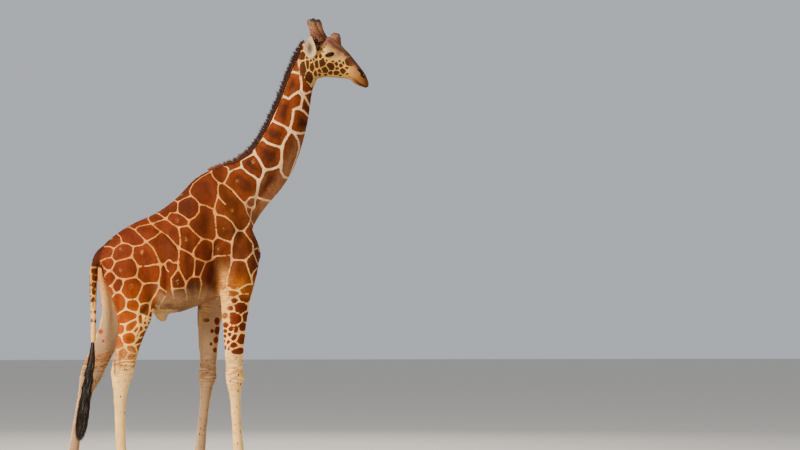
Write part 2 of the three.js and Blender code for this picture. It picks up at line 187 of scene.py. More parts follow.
cameraSet = dict(place=(-1.7304, -24.9657, 1.5768), azimuth=8.14276, pitch=2.35925, lens=112.5, sensor=36.0)
bpy.ops.object.camera_add(location=cameraSet["place"],
                          rotation=(math.radians(90 + cameraSet["pitch"]), 0, math.radians(-cameraSet["azimuth"])))
camera = bpy.context.object
camera.data.lens = cameraSet["lens"]
camera.data.sensor_width = cameraSet["sensor"]
camera.data.clip_end = 400
bpy.context.scene.camera = camera

lights = [
    dict(name="key", place=(-10.8, -6.9, 8.6), aim=(-0.1, 0, 2.5), size=3.5, power=4700, colour=(1.0, 0.91, 0.78)),
    dict(name="fill", place=(9.0, -10.0, 4.5), aim=(0.2, 0, 2.3), size=8.0, power=380, colour=(0.9, 0.95, 1.0)),
    dict(name="rim", place=(2.0, 10.0, 8.0), aim=(0.0, 0, 3.0), size=5.0, power=700, colour=(1.0, 0.97, 0.93)),
]
for lamp in lights:
    bpy.ops.object.light_add(type="AREA", location=lamp["place"])
    light = bpy.context.object
    light.name = lamp["name"]
    light.data.energy = lamp["power"]
    light.data.size = lamp["size"]
    light.data.color = lamp["colour"]
    light.rotation_euler = (Vector(lamp["aim"]) - light.location).to_track_quat("-Z", "Y").to_euler()

world = bpy.data.worlds.new("studioAir")
bpy.context.scene.world = world
world.use_nodes = True
worldBack = world.node_tree.nodes["Background"]
worldBack.inputs["Color"].default_value = (0.79, 0.83, 0.9, 1)
worldBack.inputs["Strength"].default_value = 0.62

bpy.ops.mesh.primitive_plane_add(size=160, location=(0, 20, 0))
floor = bpy.context.object
floor.name = "studioFloor"
floorPaint = bpy.data.materials.new("floorPaint")
floorPaint.use_nodes = True
floorPaint.node_tree.nodes["Principled BSDF"].inputs["Base Color"].default_value = (0.62, 0.58, 0.52, 1)
floorPaint.node_tree.nodes["Principled BSDF"].inputs["Roughness"].default_value = 0.9
floor.data.materials.append(floorPaint)
print("camera, light and floor stand")


# ---- the skin: every flesh node in one closed mesh, finer on the head

skin = dict(bodyVoxel=0.0156, headVoxel=0.0067, swell=0.0012, seamHeight=3.9, seamGap=0.009,
            coatDepth=0.004, headFrom=3.8)


def cutAt(piece, height, keepAbove):
    pick(piece)
    bpy.ops.object.mode_set(mode="EDIT")
    bpy.ops.mesh.select_all(action="SELECT")
    bpy.ops.mesh.bisect(plane_co=(0, 0, height), plane_no=(0, 0, 1), use_fill=False,
                        clear_inner=keepAbove, clear_outer=not keepAbove)
    bpy.ops.object.mode_set(mode="OBJECT")


def buildSkin():
    body = copyOf(flesh, "giraffeSkin", skin["swell"])
    head = copyOf(["head", "neck", "ear_right", "ear_left"], "skinHead", skin["swell"])
    pick(head)
    bpy.ops.object.mode_set(mode="EDIT")
    bpy.ops.mesh.select_all(action="SELECT")
    bpy.ops.mesh.bisect(plane_co=(0, 0, skin["headFrom"]), plane_no=(0, 0, 1), use_fill=True, clear_inner=True)
    bpy.ops.object.mode_set(mode="OBJECT")
    applyModifier(body, "REMESH", mode="VOXEL", voxel_size=skin["bodyVoxel"])
    applyModifier(head, "REMESH", mode="VOXEL", voxel_size=skin["headVoxel"])
    cutAt(body, skin["seamHeight"] - skin["seamGap"] / 2, keepAbove=False)
    cutAt(head, skin["seamHeight"] + skin["seamGap"] / 2, keepAbove=True)
    pick(body, head)
    bpy.ops.object.join()
    bm = bmesh.new()
    bm.from_mesh(body.data)
    rim = [e for e in bm.edges if e.is_boundary]
    bmesh.ops.bridge_loops(bm, edges=rim)
    bm.to_mesh(body.data)
    bm.free()
    return body


skinPiece = buildSkin()
skinMesh = skinPiece.data
print("skin remeshed:", len(skinMesh.vertices), "points", len(skinMesh.polygons), "faces")


# ---- which part of the animal each point of the skin belongs to

def cadSurface():
    verts, faces, owner = [], [], []
    for index, name in enumerate(flesh):
        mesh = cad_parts[name].data
        start = len(verts)
        verts += [v.co.copy() for v in mesh.vertices]
        faces += [[start + i for i in p.vertices] for p in mesh.polygons]
        owner += [index] * len(mesh.polygons)
    return BVHTree.FromPolygons(verts, faces), owner


cadTree, cadOwner = cadSurface()


def partOf(points):
    return np.array([cadOwner[cadTree.find_nearest(Vector(p))[2]] for p in points])


def middleLine(name):
    # height and middle x of a leg, level by level
    co = coordsOf(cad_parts[name].data)
    levels = np.arange(co[:, 2].min(), co[:, 2].max(), 0.08)
    mids = [co[np.abs(co[:, 2] - z) < 0.09] for z in levels]
    kept = [(z, (m[:, 0].min() + m[:, 0].max()) / 2) for z, m in zip(levels, mids) if len(m) > 4]
    return np.array(kept)


legLines = {name: middleLine(name) for name in flesh if name.startswith("leg")}


def legMiddle(name, z):
    line = legLines[name]
    return np.interp(z, line[:, 0], line[:, 1])


# ---- smoothing, then the skin is drawn in by the coat's depth

smoothing = dict(trunk=22, neck=16, head=16, tail=2, leg=7, ear=4, fineNeck=70, blend=12)


def smoothSkin():
    co, edges = coordsOf(skinMesh), edgesOf(skinMesh)
    part = partOf(co)
    turns = np.zeros(len(co))
    for index, name in enumerate(flesh):
        turns[part == index] = smoothing[name.split("_")[0]]
    fine = (part == flesh.index("neck")) & (co[:, 2] > skin["seamHeight"])
    turns[fine] = smoothing["fineNeck"]
    turns = relax(turns[:, None].repeat(3, axis=1), edges, np.full(len(co), smoothing["blend"]))[:, 0]
    ears = np.isin(part, [flesh.index("ear_right"), flesh.index("ear_left")])
    turns[ears] = np.minimum(turns[ears], smoothing["ear"])
    co = relax(co, edges, turns)
    setCoords(skinMesh, co)
    depth = skin["coatDepth"] * np.select([np.isin(part, [0, 1]), part == 2, part < 4, part < 8], [1, 0.5, 0.3, 0.3], 0)
    depth = relax(depth[:, None].repeat(3, axis=1), edges, np.full(len(co), 8))[:, :1]
    setCoords(skinMesh, co - normalsOf(skinMesh) * depth)
    return part


skinPart = smoothSkin()
print("skin smoothed")


def skinTree(mesh):
    verts = [v.co.copy() for v in mesh.vertices]
    return BVHTree.FromPolygons(verts, [list(p.vertices) for p in mesh.polygons])


def castSide(tree, x, z, side):
    # a point of the skin seen from the side at (x, z), or the nearest one to the middle there
    hit = tree.ray_cast(Vector((x, side * 1.5, z)), Vector((0, -side, 0)))[0]
    if hit is None:
        hit = tree.find_nearest(Vector((x, side * 0.02, z)))[0]
    return hit


def farShift(x, z):
    # the far legs stand further back than the near ones
    fore = smoothStep(2.45, 1.8, z) * smoothStep(-0.3, 0.0, x)
    low = np.minimum(z, 1.7)
    fore = fore * (legMiddle("leg_fore_left", low) - legMiddle("leg_fore_right", low))
    hind = smoothStep(2.2, 1.7, z) * smoothStep(-0.5, -0.75, x)
    low = np.minimum(z, 1.65)
    hind = hind * (legMiddle("leg_hind_left", low) - legMiddle("leg_hind_right", low))
    return fore + hind


forms = [
    dict(name="shoulder blade ridge", line=[(-6, 306), (8, 268), (20, 238)], reach=55, rise=14),
    dict(name="hollow behind shoulder", line=[(-12, 268), (-9, 240), (-8, 212)], reach=60, rise=-22),
    dict(name="shoulder shadow", line=[(-2, 240), (-6, 226), (-8, 206)], reach=34, rise=-25),
    dict(name="point of shoulder", line=[(28, 238), (30, 228)], reach=70, rise=12),
    dict(name="groove before shoulder", line=[(24, 256), (14, 226), (12, 208)], reach=30, rise=-10),
    dict(name="upper arm", line=[(18, 224), (8, 204)], reach=60, rise=10),
    dict(name="elbow", line=[(0, 196), (2, 184)], reach=38, rise=14),
    dict(name="elbow fold high", line=[(3, 182), (9, 185), (14, 186)], reach=13, rise=-13),
    dict(name="elbow fold low", line=[(6, 176), (12, 178), (17, 183)], reach=13, rise=-13),
    dict(name="forearm muscle", line=[(20, 172), (19, 156)], reach=50, rise=6),
    dict(name="rib 1", line=[(-24, 250), (-26, 222), (-22, 196)], reach=22, rise=5),
    dict(name="rib 2", line=[(-33, 250), (-35, 222), (-31, 196)], reach=22, rise=5),
    dict(name="flank fold", line=[(-54, 252), (-47, 244), (-41, 236)], reach=16, rise=-18),
    dict(name="flank hollow", line=[(-58, 238), (-52, 222), (-52, 202)], reach=60, rise=-22),
    dict(name="flank fold low", line=[(-53, 216), (-52, 203), (-53, 192)], reach=20, rise=-15),
    dict(name="stifle fold", line=[(-62, 196), (-68, 182), (-76, 170)], reach=26, rise=-12),
    dict(name="hip bone", line=[(-70, 252), (-64, 250)], reach=60, rise=22),
    dict(name="loin hollow", line=[(-58, 254), (-44, 262)], reach=50, rise=-11),
    dict(name="thigh muscle", line=[(-88, 214), (-86, 190)], reach=90, rise=15),
    dict(name="thigh groove", line=[(-104, 214), (-103, 196), (-99, 176)], reach=26, rise=-12),
    dict(name="seat bone", line=[(-110, 226), (-108, 216)], reach=45, rise=9),
    dict(name="gaskin tendon", line=[(-98, 136), (-99, 122), (-101, 112)], reach=14, rise=5),
    dict(name="gaskin groove", line=[(-95, 138), (-96, 124), (-97, 114)], reach=14, rise=-10),
    dict(name="jugular groove", line=[(72, 392), (64, 350), (52, 314), (36, 282)], reach=30, rise=-10),
    dict(name="neck vertebrae", line=[(66, 385), (50, 346), (38, 318)], reach=32, rise=3),
    dict(name="breast groove", line=[(33, 262), (36, 248), (38, 232)], reach=26, rise=-10),
]
legForms = [
    dict(name="knee cap", level=1.085, front=1, reach=50, rise=7),
    dict(name="below knee", level=0.985, front=1, reach=35, rise=-4),
    dict(name="fetlock back", level=0.27, front=-1, reach=35, rise=9),
]


def pressLine(co, normals, placed, reach, rise):
    near = np.ones(len(co), dtype=bool)
    low, high = placed.min(axis=0) - 2.4 * reach, placed.max(axis=0) + 2.4 * reach
    near = np.all((co > low) & (co < high), axis=1)
    best = np.full(near.sum(), 9.0)
    for a, b in zip(placed[:-1], placed[1:]):
        best = np.minimum(best, segmentDistance(co[near], a, b)[0])
    co[near] += normals[near] * (rise * np.exp(-(best / reach) ** 2))[:, None]


def segmentDistance(points, a, b):
    run = b - a
    t = np.clip(((points - a) @ run) / max(run @ run, 1e-12), 0, 1)
    foot = a + t[:, None] * run
    return np.linalg.norm(points - foot, axis=1), foot


def lineDistance(points, line):
    best = np.full(len(points), 9.0)
    for a, b in zip(line[:-1], line[1:]):
        best = np.minimum(best, segmentDistance(points, a, b)[0])
    return best


def shapeForms():
    tree = skinTree(skinMesh)
    co, normals = coordsOf(skinMesh), normalsOf(skinMesh)
    creaseShade = np.zeros(len(co))
    for form in forms:
        for side in (-1, 1):
            placed = []
            for x, z in form["line"]:
                shift = farShift(x / 100, z / 100) if side > 0 else 0
                placed.append(castSide(tree, x / 100 + shift, z / 100, side))
            pressLine(co, normals, np.array(placed), form["reach"] / 1000, form["rise"] / 1000)
            # next to each narrow hollow, a weight for painted shade in its crease
            if form["rise"] < 0 and form["reach"] < 40:
                near = np.exp(-(lineDistance(co, np.array(placed)) / (form["reach"] / 1000)) ** 2)
                creaseShade = np.maximum(creaseShade, near * min(1.0, -form["rise"] / 22))
    for name in legLines:
        side = 1 if name.endswith("left") else -1
        for form in legForms:
            x = legMiddle(name, form["level"])
            spot = tree.ray_cast(Vector((x + form["front"], side * 0.196, form["level"])), Vector((-form["front"], 0, 0)))[0]
            if spot is not None and (name.startswith("leg_fore") or form["level"] < 0.9):
                pressLine(co, normals, np.array([spot, spot]), form["reach"] / 1000, form["rise"] / 1000)
    # the sheath ends lower and rounder than the block it grows from
    low = np.nonzero((np.abs(co[:, 0] + 0.53) < 0.12) & (np.abs(co[:, 1]) < 0.1) & (co[:, 2] < 1.8))[0]
    tip = co[low[np.argmin(co[low, 2])]] + (0, 0, 0.02)
    weight = np.exp(-np.sum(((co[low] - tip) / (0.05, 0.06, 0.045)) ** 2, axis=1))[:, None]
    co[low] += weight * ((co[low] - tip) * (0.55, 0.35, 0.0) + (0.008, 0, -0.026))
    # the ears are hollow in front
    for side in (-1, 1):
        own = np.nonzero(partOf(co) == flesh.index("ear_right" if side < 0 else "ear_left"))[0]
        middle = (co[own].min(axis=0) + co[own].max(axis=0)) / 2
        facing = normals[own] @ (headTurn @ (0.15, side, 0.0))
        depth = np.exp(-np.sum(((co[own] - middle) / (0.035, 0.06, 0.070)) ** 2, axis=1)) * np.clip(facing * 2, 0, 1)
        co[own] -= normals[own] * (0.011 * depth)[:, None]
    setCoords(skinMesh, co)
    addValues(skinMesh, "creaseShade", creaseShade)


shapeForms()
print("muscles and folds shaped")


# ---- eyelids: the hide round each eye is cut out and rebuilt in rings down to the lid's rim

eyeSet = dict(centre=(0.330, 0.103, 0.020), radius=0.0300, look=(0.10, 1.0, 0.06), cutRadius=0.052,
              openFront=0.0360, openBack=0.0325, openUp=0.0105, openDown=0.0115, lidThick=0.0034, rings=13, tiltUp=15.0)


def eyeFrame(side):
    centre = np.array(eyeSet["centre"]) * (1, side, 1)
    axis = unit(np.array(eyeSet["look"]) * (1, side, 1))
    tilt = math.radians(eyeSet["tiltUp"])
    ahead = np.array((math.cos(tilt), 0, math.sin(tilt)))
    ahead = unit(ahead - axis * (ahead @ axis))
    up = np.cross(axis, ahead)
    up = up * np.sign(up[2])
    return centre, axis, ahead, up


def rimPoint(side, angle, lift=0.0, grow=1.0):
    centre, axis, ahead, up = eyeFrame(side)
    across = math.cos(angle)
    a = across * (eyeSet["openFront"] if across > 0 else eyeSet["openBack"]) * grow
    height = math.sin(angle)
    b = (eyeSet["openUp"] if height > 0 else eyeSet["openDown"]) * grow
    b = b * math.copysign(abs(height) ** 1.25, height)
    r = eyeSet["radius"] + lift
    return centre + ahead * a + up * b + axis * math.sqrt(max(r * r - a * a - b * b, 1e-8))


def orderedLoop(edges):
    links = {}
    for e in edges:
        for v, w in ((e.verts[0], e.verts[1]), (e.verts[1], e.verts[0])):
            links.setdefault(v, []).append(w)
    start = next(iter(links))
    loop, last, here = [start], None, start
    while True:
        following = [w for w in links[here] if w is not last]
        last, here = here, following[0]
        if here is start:
            return loop
        loop.append(here)


def buildLids(bm, side):
    centre, axis, ahead, up = eyeFrame(side)
    middle = fromHead(centre)
    doomed = [f for f in bm.faces if (np.array(f.calc_center_median()) - middle) @ (np.array(f.calc_center_median()) - middle)
              < eyeSet["cutRadius"] ** 2]
    bmesh.ops.delete(bm, geom=doomed, context="FACES")
    rim = [e for e in bm.edges if e.is_boundary]
    loop = orderedLoop(rim)
    start = [toHead(np.array(v.co)) for v in loop]
    angles = [math.atan2((p - centre) @ up * 1.3, (p - centre) @ ahead) for p in start]
    rings = [loop]
    count = eyeSet["rings"]
    for k in range(1, count + 4):
        t = min(k / count, 1.0)
        ring = []
        for p, angle in zip(start, angles):
            if k <= count:
                goal = rimPoint(side, angle, eyeSet["lidThick"])
                place = p + (goal - p) * (0.75 * t + 0.25 * t * t)
                upper = max(math.sin(angle), 0.0)
                lower = max(-math.sin(angle), 0.0)
                fold = -0.0030 * math.exp(-((t - 0.62) / 0.09) ** 2) * (upper + 0.6 * lower)
                bulge = 0.0028 * math.exp(-((t - 0.82) / 0.12) ** 2)
                brow = 0.0060 * upper * math.exp(-((t - 0.30) / 0.2) ** 2)
                under = -0.0025 * lower * math.exp(-((t - 0.35) / 0.15) ** 2)
                out = unit(place - centre)
                place = place + out * (fold + bulge + brow + under)
                least = eyeSet["radius"] + eyeSet["lidThick"] * (0.8 if t < 1 else 1.0)
                reachOut = np.linalg.norm(place - centre)
                if t > 0.5 and reachOut < least:
                    place = centre + unit(place - centre) * least
            elif k == count + 1:
                place = rimPoint(side, angle, 0.0012, 0.965)
            elif k == count + 2:
                place = rimPoint(side, angle, -0.0012, 0.97)
            else:
                place = centre + (rimPoint(side, angle) - centre) * 0.8
            ring.append(bm.verts.new(fromHead(place)))
        rings.append(ring)
    n = len(loop)
    lidFaces = []
    for inner, outer in zip(rings[1:], rings[:-1]):
        for j in range(n):
            lidFaces.append(bm.faces.new((outer[j], outer[(j + 1) % n], inner[(j + 1) % n], inner[j])))
    hub = bm.verts.new(fromHead(centre))
    for j in range(n):
        lidFaces.append(bm.faces.new((rings[-1][j], rings[-1][(j + 1) % n], hub)))
    bm.normal_update()
    test = lidFaces[0]
    neighbour = next(f for e in test.edges for f in e.link_faces if f not in lidFaces)
    if test.normal.dot(neighbour.normal) < 0:
        bmesh.ops.reverse_faces(bm, faces=lidFaces)


# ---- nostrils and mouth: finer faces there, pressed in (head frame, metres)

muzzle = dict(nostril=[(0.640, 0.060, -0.134), (0.655, 0.060, -0.152), (0.667, 0.055, -0.172), (0.669, 0.050, -0.188)],
              nostrilReach=0.0075, nostrilDepth=0.016, nostrilRim=0.0035, rimAt=0.0125,
              mouth=[(0.512, 0.060, -0.208), (0.545, 0.060, -0.231), (0.585, 0.057, -0.252), (0.625, 0.052, -0.270),
                     (0.655, 0.042, -0.284), (0.676, 0.025, -0.296), (0.682, 0.0, -0.300)],
              mouthReach=0.0042, mouthDepth=0.009, lipRise=0.0035, lipAt=0.011)


def onSkinLine(tree, points, side):
    placed = []
    for x, y, z in points:
        placed.append(np.array(tree.find_nearest(Vector(fromHead(np.array((x, y * side, z)))))[0]))
    return np.array(placed)


def refineNear(bm, line, reach, cuts):
    for turn in range(cuts):
        middles = np.array([f.calc_center_median() for f in bm.faces])
        close = np.linalg.norm(middles - line.mean(axis=0), axis=1) < 0.25
        d = np.full(len(middles), 9.0)
        d[close] = lineDistance(middles[close], line)
        bm.faces.ensure_lookup_table()
        chosen = {e for i in np.nonzero(d < reach)[0] for e in bm.faces[i].edges}
        bmesh.ops.subdivide_edges(bm, edges=list(chosen), cuts=1, use_grid_fill=True, smooth=0.0)


def shapeMuzzle(bm, tree):
    lines = []
    for side in (-1, 1):
        nostril = onSkinLine(tree, muzzle["nostril"], side)
        mouth = onSkinLine(tree, muzzle["mouth"], side)
        refineNear(bm, nostril, 0.022, 2)
        refineNear(bm, mouth, 0.014, 1)
        lines.append((nostril, mouth))
    bm.normal_update()
    verts = list(bm.verts)
    co = np.array([v.co for v in verts])
    normals = np.array([v.normal for v in verts])
    near = np.linalg.norm(co - fromHead(np.array((0.62, 0, -0.22))), axis=1) < 0.3
    ids = np.nonzero(near)[0]
    spot, facing = co[ids], normals[ids]
    for nostril, mouth in lines:
        d = lineDistance(spot, nostril)
        rise = muzzle["nostrilRim"] * np.exp(-((d - muzzle["rimAt"]) / 0.006) ** 2)
        rise -= muzzle["nostrilDepth"] * np.exp(-(d / muzzle["nostrilReach"]) ** 2)
        spot = spot + facing * rise[:, None]
    mouthWay = np.minimum(lineDistance(co[ids], lines[0][1]), lineDistance(co[ids], lines[1][1]))
    rise = muzzle["lipRise"] * np.exp(-((mouthWay - muzzle["lipAt"]) / 0.006) ** 2)
    rise -= muzzle["mouthDepth"] * np.exp(-(mouthWay / muzzle["mouthReach"]) ** 2)
    spot = spot + facing * rise[:, None]
    for i, p in zip(ids, spot):
        verts[i].co = p


def detailHead():
    tree = skinTree(skinMesh)
    bm = bmesh.new()
    bm.from_mesh(skinMesh)
    shapeMuzzle(bm, tree)
    for side in (-1, 1):
        buildLids(bm, side)
    bmesh.ops.recalc_face_normals(bm, faces=bm.faces)
    bm.to_mesh(skinMesh)
    bm.free()


detailHead()
print("lids, nostrils and mouth shaped:", len(skinMesh.polygons), "faces")


# ---- markings: pale lines part the patches, each given as points of the camera's 800 by 450 frame

rearLines = [
    [(105, 246.5), (109.5, 246.5), (114, 248.5), (118, 245.5), (122, 243)], [(122, 243), (120.5, 237), (117, 233.5)],
    [(122, 243), (127.5, 243.5), (133, 246.5), (142, 245), (146, 241.5)],
    [(146, 241.5), (141, 236), (135, 230), (129, 227)], [(135, 230), (138, 226.5), (145, 225), (151.5, 224)],
    [(151.5, 224), (148, 219)], [(151.5, 224), (159, 221), (166, 219)], [(166, 219), (159, 214)],
    [(166, 219), (170, 213), (177.5, 212.5)], [(166, 219), (173, 224.5), (178.5, 227.5)],
    [(151.5, 224), (155.5, 227.5), (161, 231.5), (168, 236), (175, 244), (179, 248)],
    [(146, 241.5), (155, 237), (161, 231.5)], [(146, 241.5), (153, 248), (157.5, 257), (160.5, 264.5)],
    [(133, 246.5), (133, 251), (131.5, 257)], [(131.5, 257), (125, 259), (115, 261.5)],
    [(131.5, 257), (135, 261), (138, 266.5)], [(114, 248.5), (113, 253), (111.5, 257.5), (115, 261.5)],
    [(111.5, 257.5), (106, 258.5), (100.5, 261)], [(115, 261.5), (113.5, 266), (111, 270.5)],
    [(111, 270.5), (108.5, 271), (105, 275), (104, 280)], [(111, 270.5), (114, 274), (117, 277.5), (124, 279.5)],
    [(138, 266.5), (137.5, 272), (136, 277)], [(138, 266.5), (148, 266), (154, 264.5), (160.5, 264.5)],
    [(124, 279.5), (131, 278), (136, 277)], [(136, 277), (140, 280.5), (143, 284)],
    [(117, 277.5), (114, 282), (111.5, 286)], [(124, 279.5), (122.5, 286), (120, 292)],
    [(143, 284), (149, 283), (158.5, 283)], [(143, 284), (141, 290), (137, 299)],
    [(160.5, 264.5), (160.5, 274), (158.5, 283)],
    [(158.5, 283), (159, 287), (156.5, 292.5), (154, 296.5), (150, 303)], [(159, 287), (162.5, 289), (166, 292)],
    [(160.5, 264.5), (164.5, 264), (169, 259.5), (173, 262.5), (178.5, 262.5)], [(137, 299), (126.5, 300)],
    [(137, 299), (140, 304.5), (145, 303), (150, 303)], [(120, 292), (123.5, 295.5), (126.5, 300)],
    [(126.5, 300), (125.5, 309)], [(140, 304.5), (139, 309), (137.5, 313)], [(125.5, 309), (131, 311), (137.5, 313)],
    [(125.5, 309), (121, 312), (116, 315.5)], [(120, 292), (115, 293), (111.5, 286)], [(115, 293), (111, 299)],
    [(111.5, 286), (104.5, 286)], [(111, 299), (112, 306), (114, 312.5), (116, 315.5)],
    [(111, 299), (109, 298), (106.5, 292), (104.5, 286)], [(104.5, 286), (104, 280), (100.5, 277)],
    [(100.5, 261), (103, 267), (108.5, 271)], [(100.5, 261), (100, 268), (100.5, 277)],
    [(150, 303), (150, 310.5), (156, 312)], [(165, 296.5), (161, 303), (156.5, 312)],
    [(165, 264.5), (166.5, 269.5), (168.5, 271.5)],
]
foreLines = [
    [(177.5, 212.5), (178, 202)], [(178, 202), (184, 198.5), (191, 196)],
    [(191, 196), (189.5, 191), (193, 184), (200, 178), (208, 173.5), (211, 171.5)],
    [(191, 196), (195.5, 199), (199.5, 204), (199, 212), (195, 217), (189, 220.5)],
    [(189, 220.5), (184, 216.5), (177.5, 212.5)], [(178, 202), (173, 200)], [(189, 220.5), (188, 225.5), (178.5, 227.5)],
    [(188, 225.5), (194, 232), (202, 239)], [(178.5, 227.5), (180, 236), (180.5, 244), (178.5, 248)],
    [(199.5, 204), (207, 206), (212, 209), (215, 212.5)], [(215, 212.5), (215.5, 222), (217, 237)],
    [(215, 212.5), (214.5, 208), (216, 202), (218, 195.5), (218, 187), (219, 183)],
    [(202, 239), (208, 239.5), (213, 241.5), (217, 237)], [(202, 239), (198, 244), (194, 250), (193, 255)],
    [(178.5, 248), (185, 250.5), (193, 255)], [(178.5, 248), (179, 256), (178, 262.5), (178.5, 268.5)],
    [(193, 255), (195, 258), (206, 262), (211, 260.5), (216, 256), (230, 255.5)],
    [(213, 241.5), (213, 250), (211.5, 260)], [(195, 258), (194.5, 268), (193.5, 276.5)],
    [(206, 262), (203, 269), (200, 277)], [(178.5, 268.5), (182, 275), (186, 283)],
    [(186, 283), (190, 278), (193.5, 276.5), (200, 277), (201.5, 284)],
    [(178.5, 268.5), (171, 278.5), (172, 289), (174, 299)], [(172, 289), (178, 288.5), (185, 288)],
    [(186, 283), (185, 288), (186.5, 294), (186.5, 300)], [(201.5, 284), (200, 293), (198, 300)],
    [(217, 237), (224, 240), (232, 242.5)], [(232, 242.5), (233.5, 237), (237, 230.5)],
    [(237, 230.5), (232, 222), (225, 216.5), (215, 214)], [(237, 230.5), (243.5, 231), (248, 226), (250.5, 219)],
    [(243.5, 231), (247, 236), (253, 244), (253, 250), (254, 254), (258.5, 266.5)],
    [(232, 242.5), (231.5, 250), (232, 260)], [(232, 260), (239, 260), (245.5, 260.5)],
    [(245.5, 260.5), (249, 256.5), (253, 252)], [(245.5, 260.5), (248, 269), (251.5, 279), (252.5, 284)],
    [(232, 260), (230, 268), (227, 279), (226.5, 288), (228, 294)], [(258.5, 266.5), (253, 273), (251.5, 279)],
    [(229, 289.5), (237, 290.5), (240, 288.5), (247, 284.5), (252.5, 284)], [(218, 195.5), (221, 200), (225.5, 204.5)],
    [(250.5, 219), (247, 212), (245, 204), (240, 199), (232, 190), (224, 183.5), (219, 183)],
    [(219, 183), (213, 177), (211, 171.5)],
    [(224, 183.5), (227, 178), (229, 173), (228, 168), (226, 166.5), (220, 166.5), (213, 168), (211, 171.5)],
    [(229, 173), (233, 170), (241.5, 167)], [(241.5, 167), (241, 161), (247, 157.5), (254.5, 153.5)],
    [(241.5, 167), (248, 173), (254, 176.5), (259, 181)],
    [(259, 181), (257.5, 190), (256, 197), (250, 197.5), (245, 203.5)],
    [(245, 203.5), (249, 207.5), (254.5, 207), (255, 202), (256, 197)],
    [(254.5, 207), (251.5, 211), (250.5, 219), (253.5, 226)],
]
neckLines = [
    [(254.5, 153.5), (259, 159.5), (264.5, 170)], [(264.5, 170), (262, 177), (258.5, 182)],
    [(264.5, 170), (272.5, 169), (278.5, 166.5), (281.5, 161)],
    [(254.5, 153.5), (254, 147.5), (259, 142.5), (263, 139)], [(263, 139), (267.5, 143), (276, 146), (282, 147.5)],
    [(282, 147.5), (281.5, 161), (281, 171.5), (284, 177), (288, 178)], [(282, 147.5), (284, 142), (289, 133.5), (289.5, 130.5)],
    [(272.5, 120.5), (277, 123), (284, 126), (289.5, 130.5)],
    [(295.5, 62), (291.5, 71.5), (288, 80), (284, 88.5), (281.5, 97), (278, 106.5), (272.5, 120), (267.5, 128.5),
     (262, 138)],
    [(289.5, 130.5), (292.5, 119), (293.5, 109.5), (298, 108), (301, 106.5), (302.5, 98), (301, 92.5)],
    [(281.5, 97), (284, 96.5), (289, 99), (291.5, 96), (298, 92), (301, 92.5)],
    [(301, 92.5), (301.5, 84), (300.5, 77), (301, 72.5), (299, 65.5), (298.5, 60)],
    [(291.5, 71.5), (297, 73), (301, 72.5)], [(301, 92.5), (305.5, 98), (310, 107)], [(301, 92.5), (305.5, 93.5), (311, 91.5)],
    [(301, 72.5), (305.5, 75.5), (308.5, 84), (312, 86.5)], [(298, 108), (304, 111.5), (309, 117)],
    [(289.5, 130.5), (294.5, 132.5), (301, 133.5), (306.5, 132.5)],
    [(293.5, 132.5), (298, 140), (299.5, 147.5), (296.5, 158), (289.5, 176)],
    [(258.5, 182), (257.5, 191.5), (256, 197), (263, 199.5), (271.5, 201.5)],
]
gaskinLines = [
    [(116.5, 316), (116.5, 321), (117.5, 323.5), (125, 324.5)], [(125, 324.5), (130.5, 321.5), (137.5, 318.5), (138, 313)],
    [(125, 324.5), (125, 332.5), (121, 335.5)], [(137.5, 318.5), (138, 324), (132, 331.5)],
    [(125, 332.5), (132, 331.5), (135.5, 334.5), (136, 341), (132.5, 344.5), (125, 345)],
    [(121, 335.5), (122.5, 341), (125, 345)], [(121, 335.5), (116.5, 334)],
    [(125, 345), (126, 349), (129, 352.5), (136.5, 354)], [(132.5, 344.5), (136, 348), (137.5, 352.5)],
    [(125, 346), (120.5, 349), (117, 350.5)], [(138, 324), (143, 325.5), (148.5, 325)],
    [(139.5, 325), (138.5, 330), (135.5, 334.5)], [(138, 313), (143, 315), (147.5, 317.5), (151.5, 317.5)],
    [(143, 315), (143, 320), (143, 325.5)], [(143, 325.5), (144, 330), (139.5, 333.5), (137.5, 339)],
    [(150, 310.5), (147.5, 317.5), (147, 325)], [(143, 320), (150, 321)], [(144, 330), (148, 329)],
    [(137.5, 339), (142, 337)], [(136.5, 345), (141, 343)], [(156, 305), (159, 309)],
    [(117, 350.5), (118, 357), (122, 361)], [(129, 352.5), (126, 358), (128, 363)], [(136.5, 354), (135, 361)],
]
# where lines run on over the spine to the left side
overBack = [(105, 246.5), (117, 233.5), (129, 227), (148, 219), (159, 214), (173, 200)]
# the breast and the throat's foot, from in front: y and z in cm
breastLines = [
    [(0, 261), (2, 250), (-1, 238)], [(-1, 238), (-9, 234), (-17, 237), (-21, 235.5)], [(-1, 238), (8, 233), (15, 236), (19, 234.5)],
    [(-1, 238), (1, 224), (-2, 212)], [(-2, 212), (-9, 207), (-15, 206), (-19, 207.5)], [(-2, 212), (8, 207), (14, 206), (18, 206.5)],
    [(1, 286), (-1, 275), (0, 261)], [(0, 311), (2, 298), (1, 286)],
]
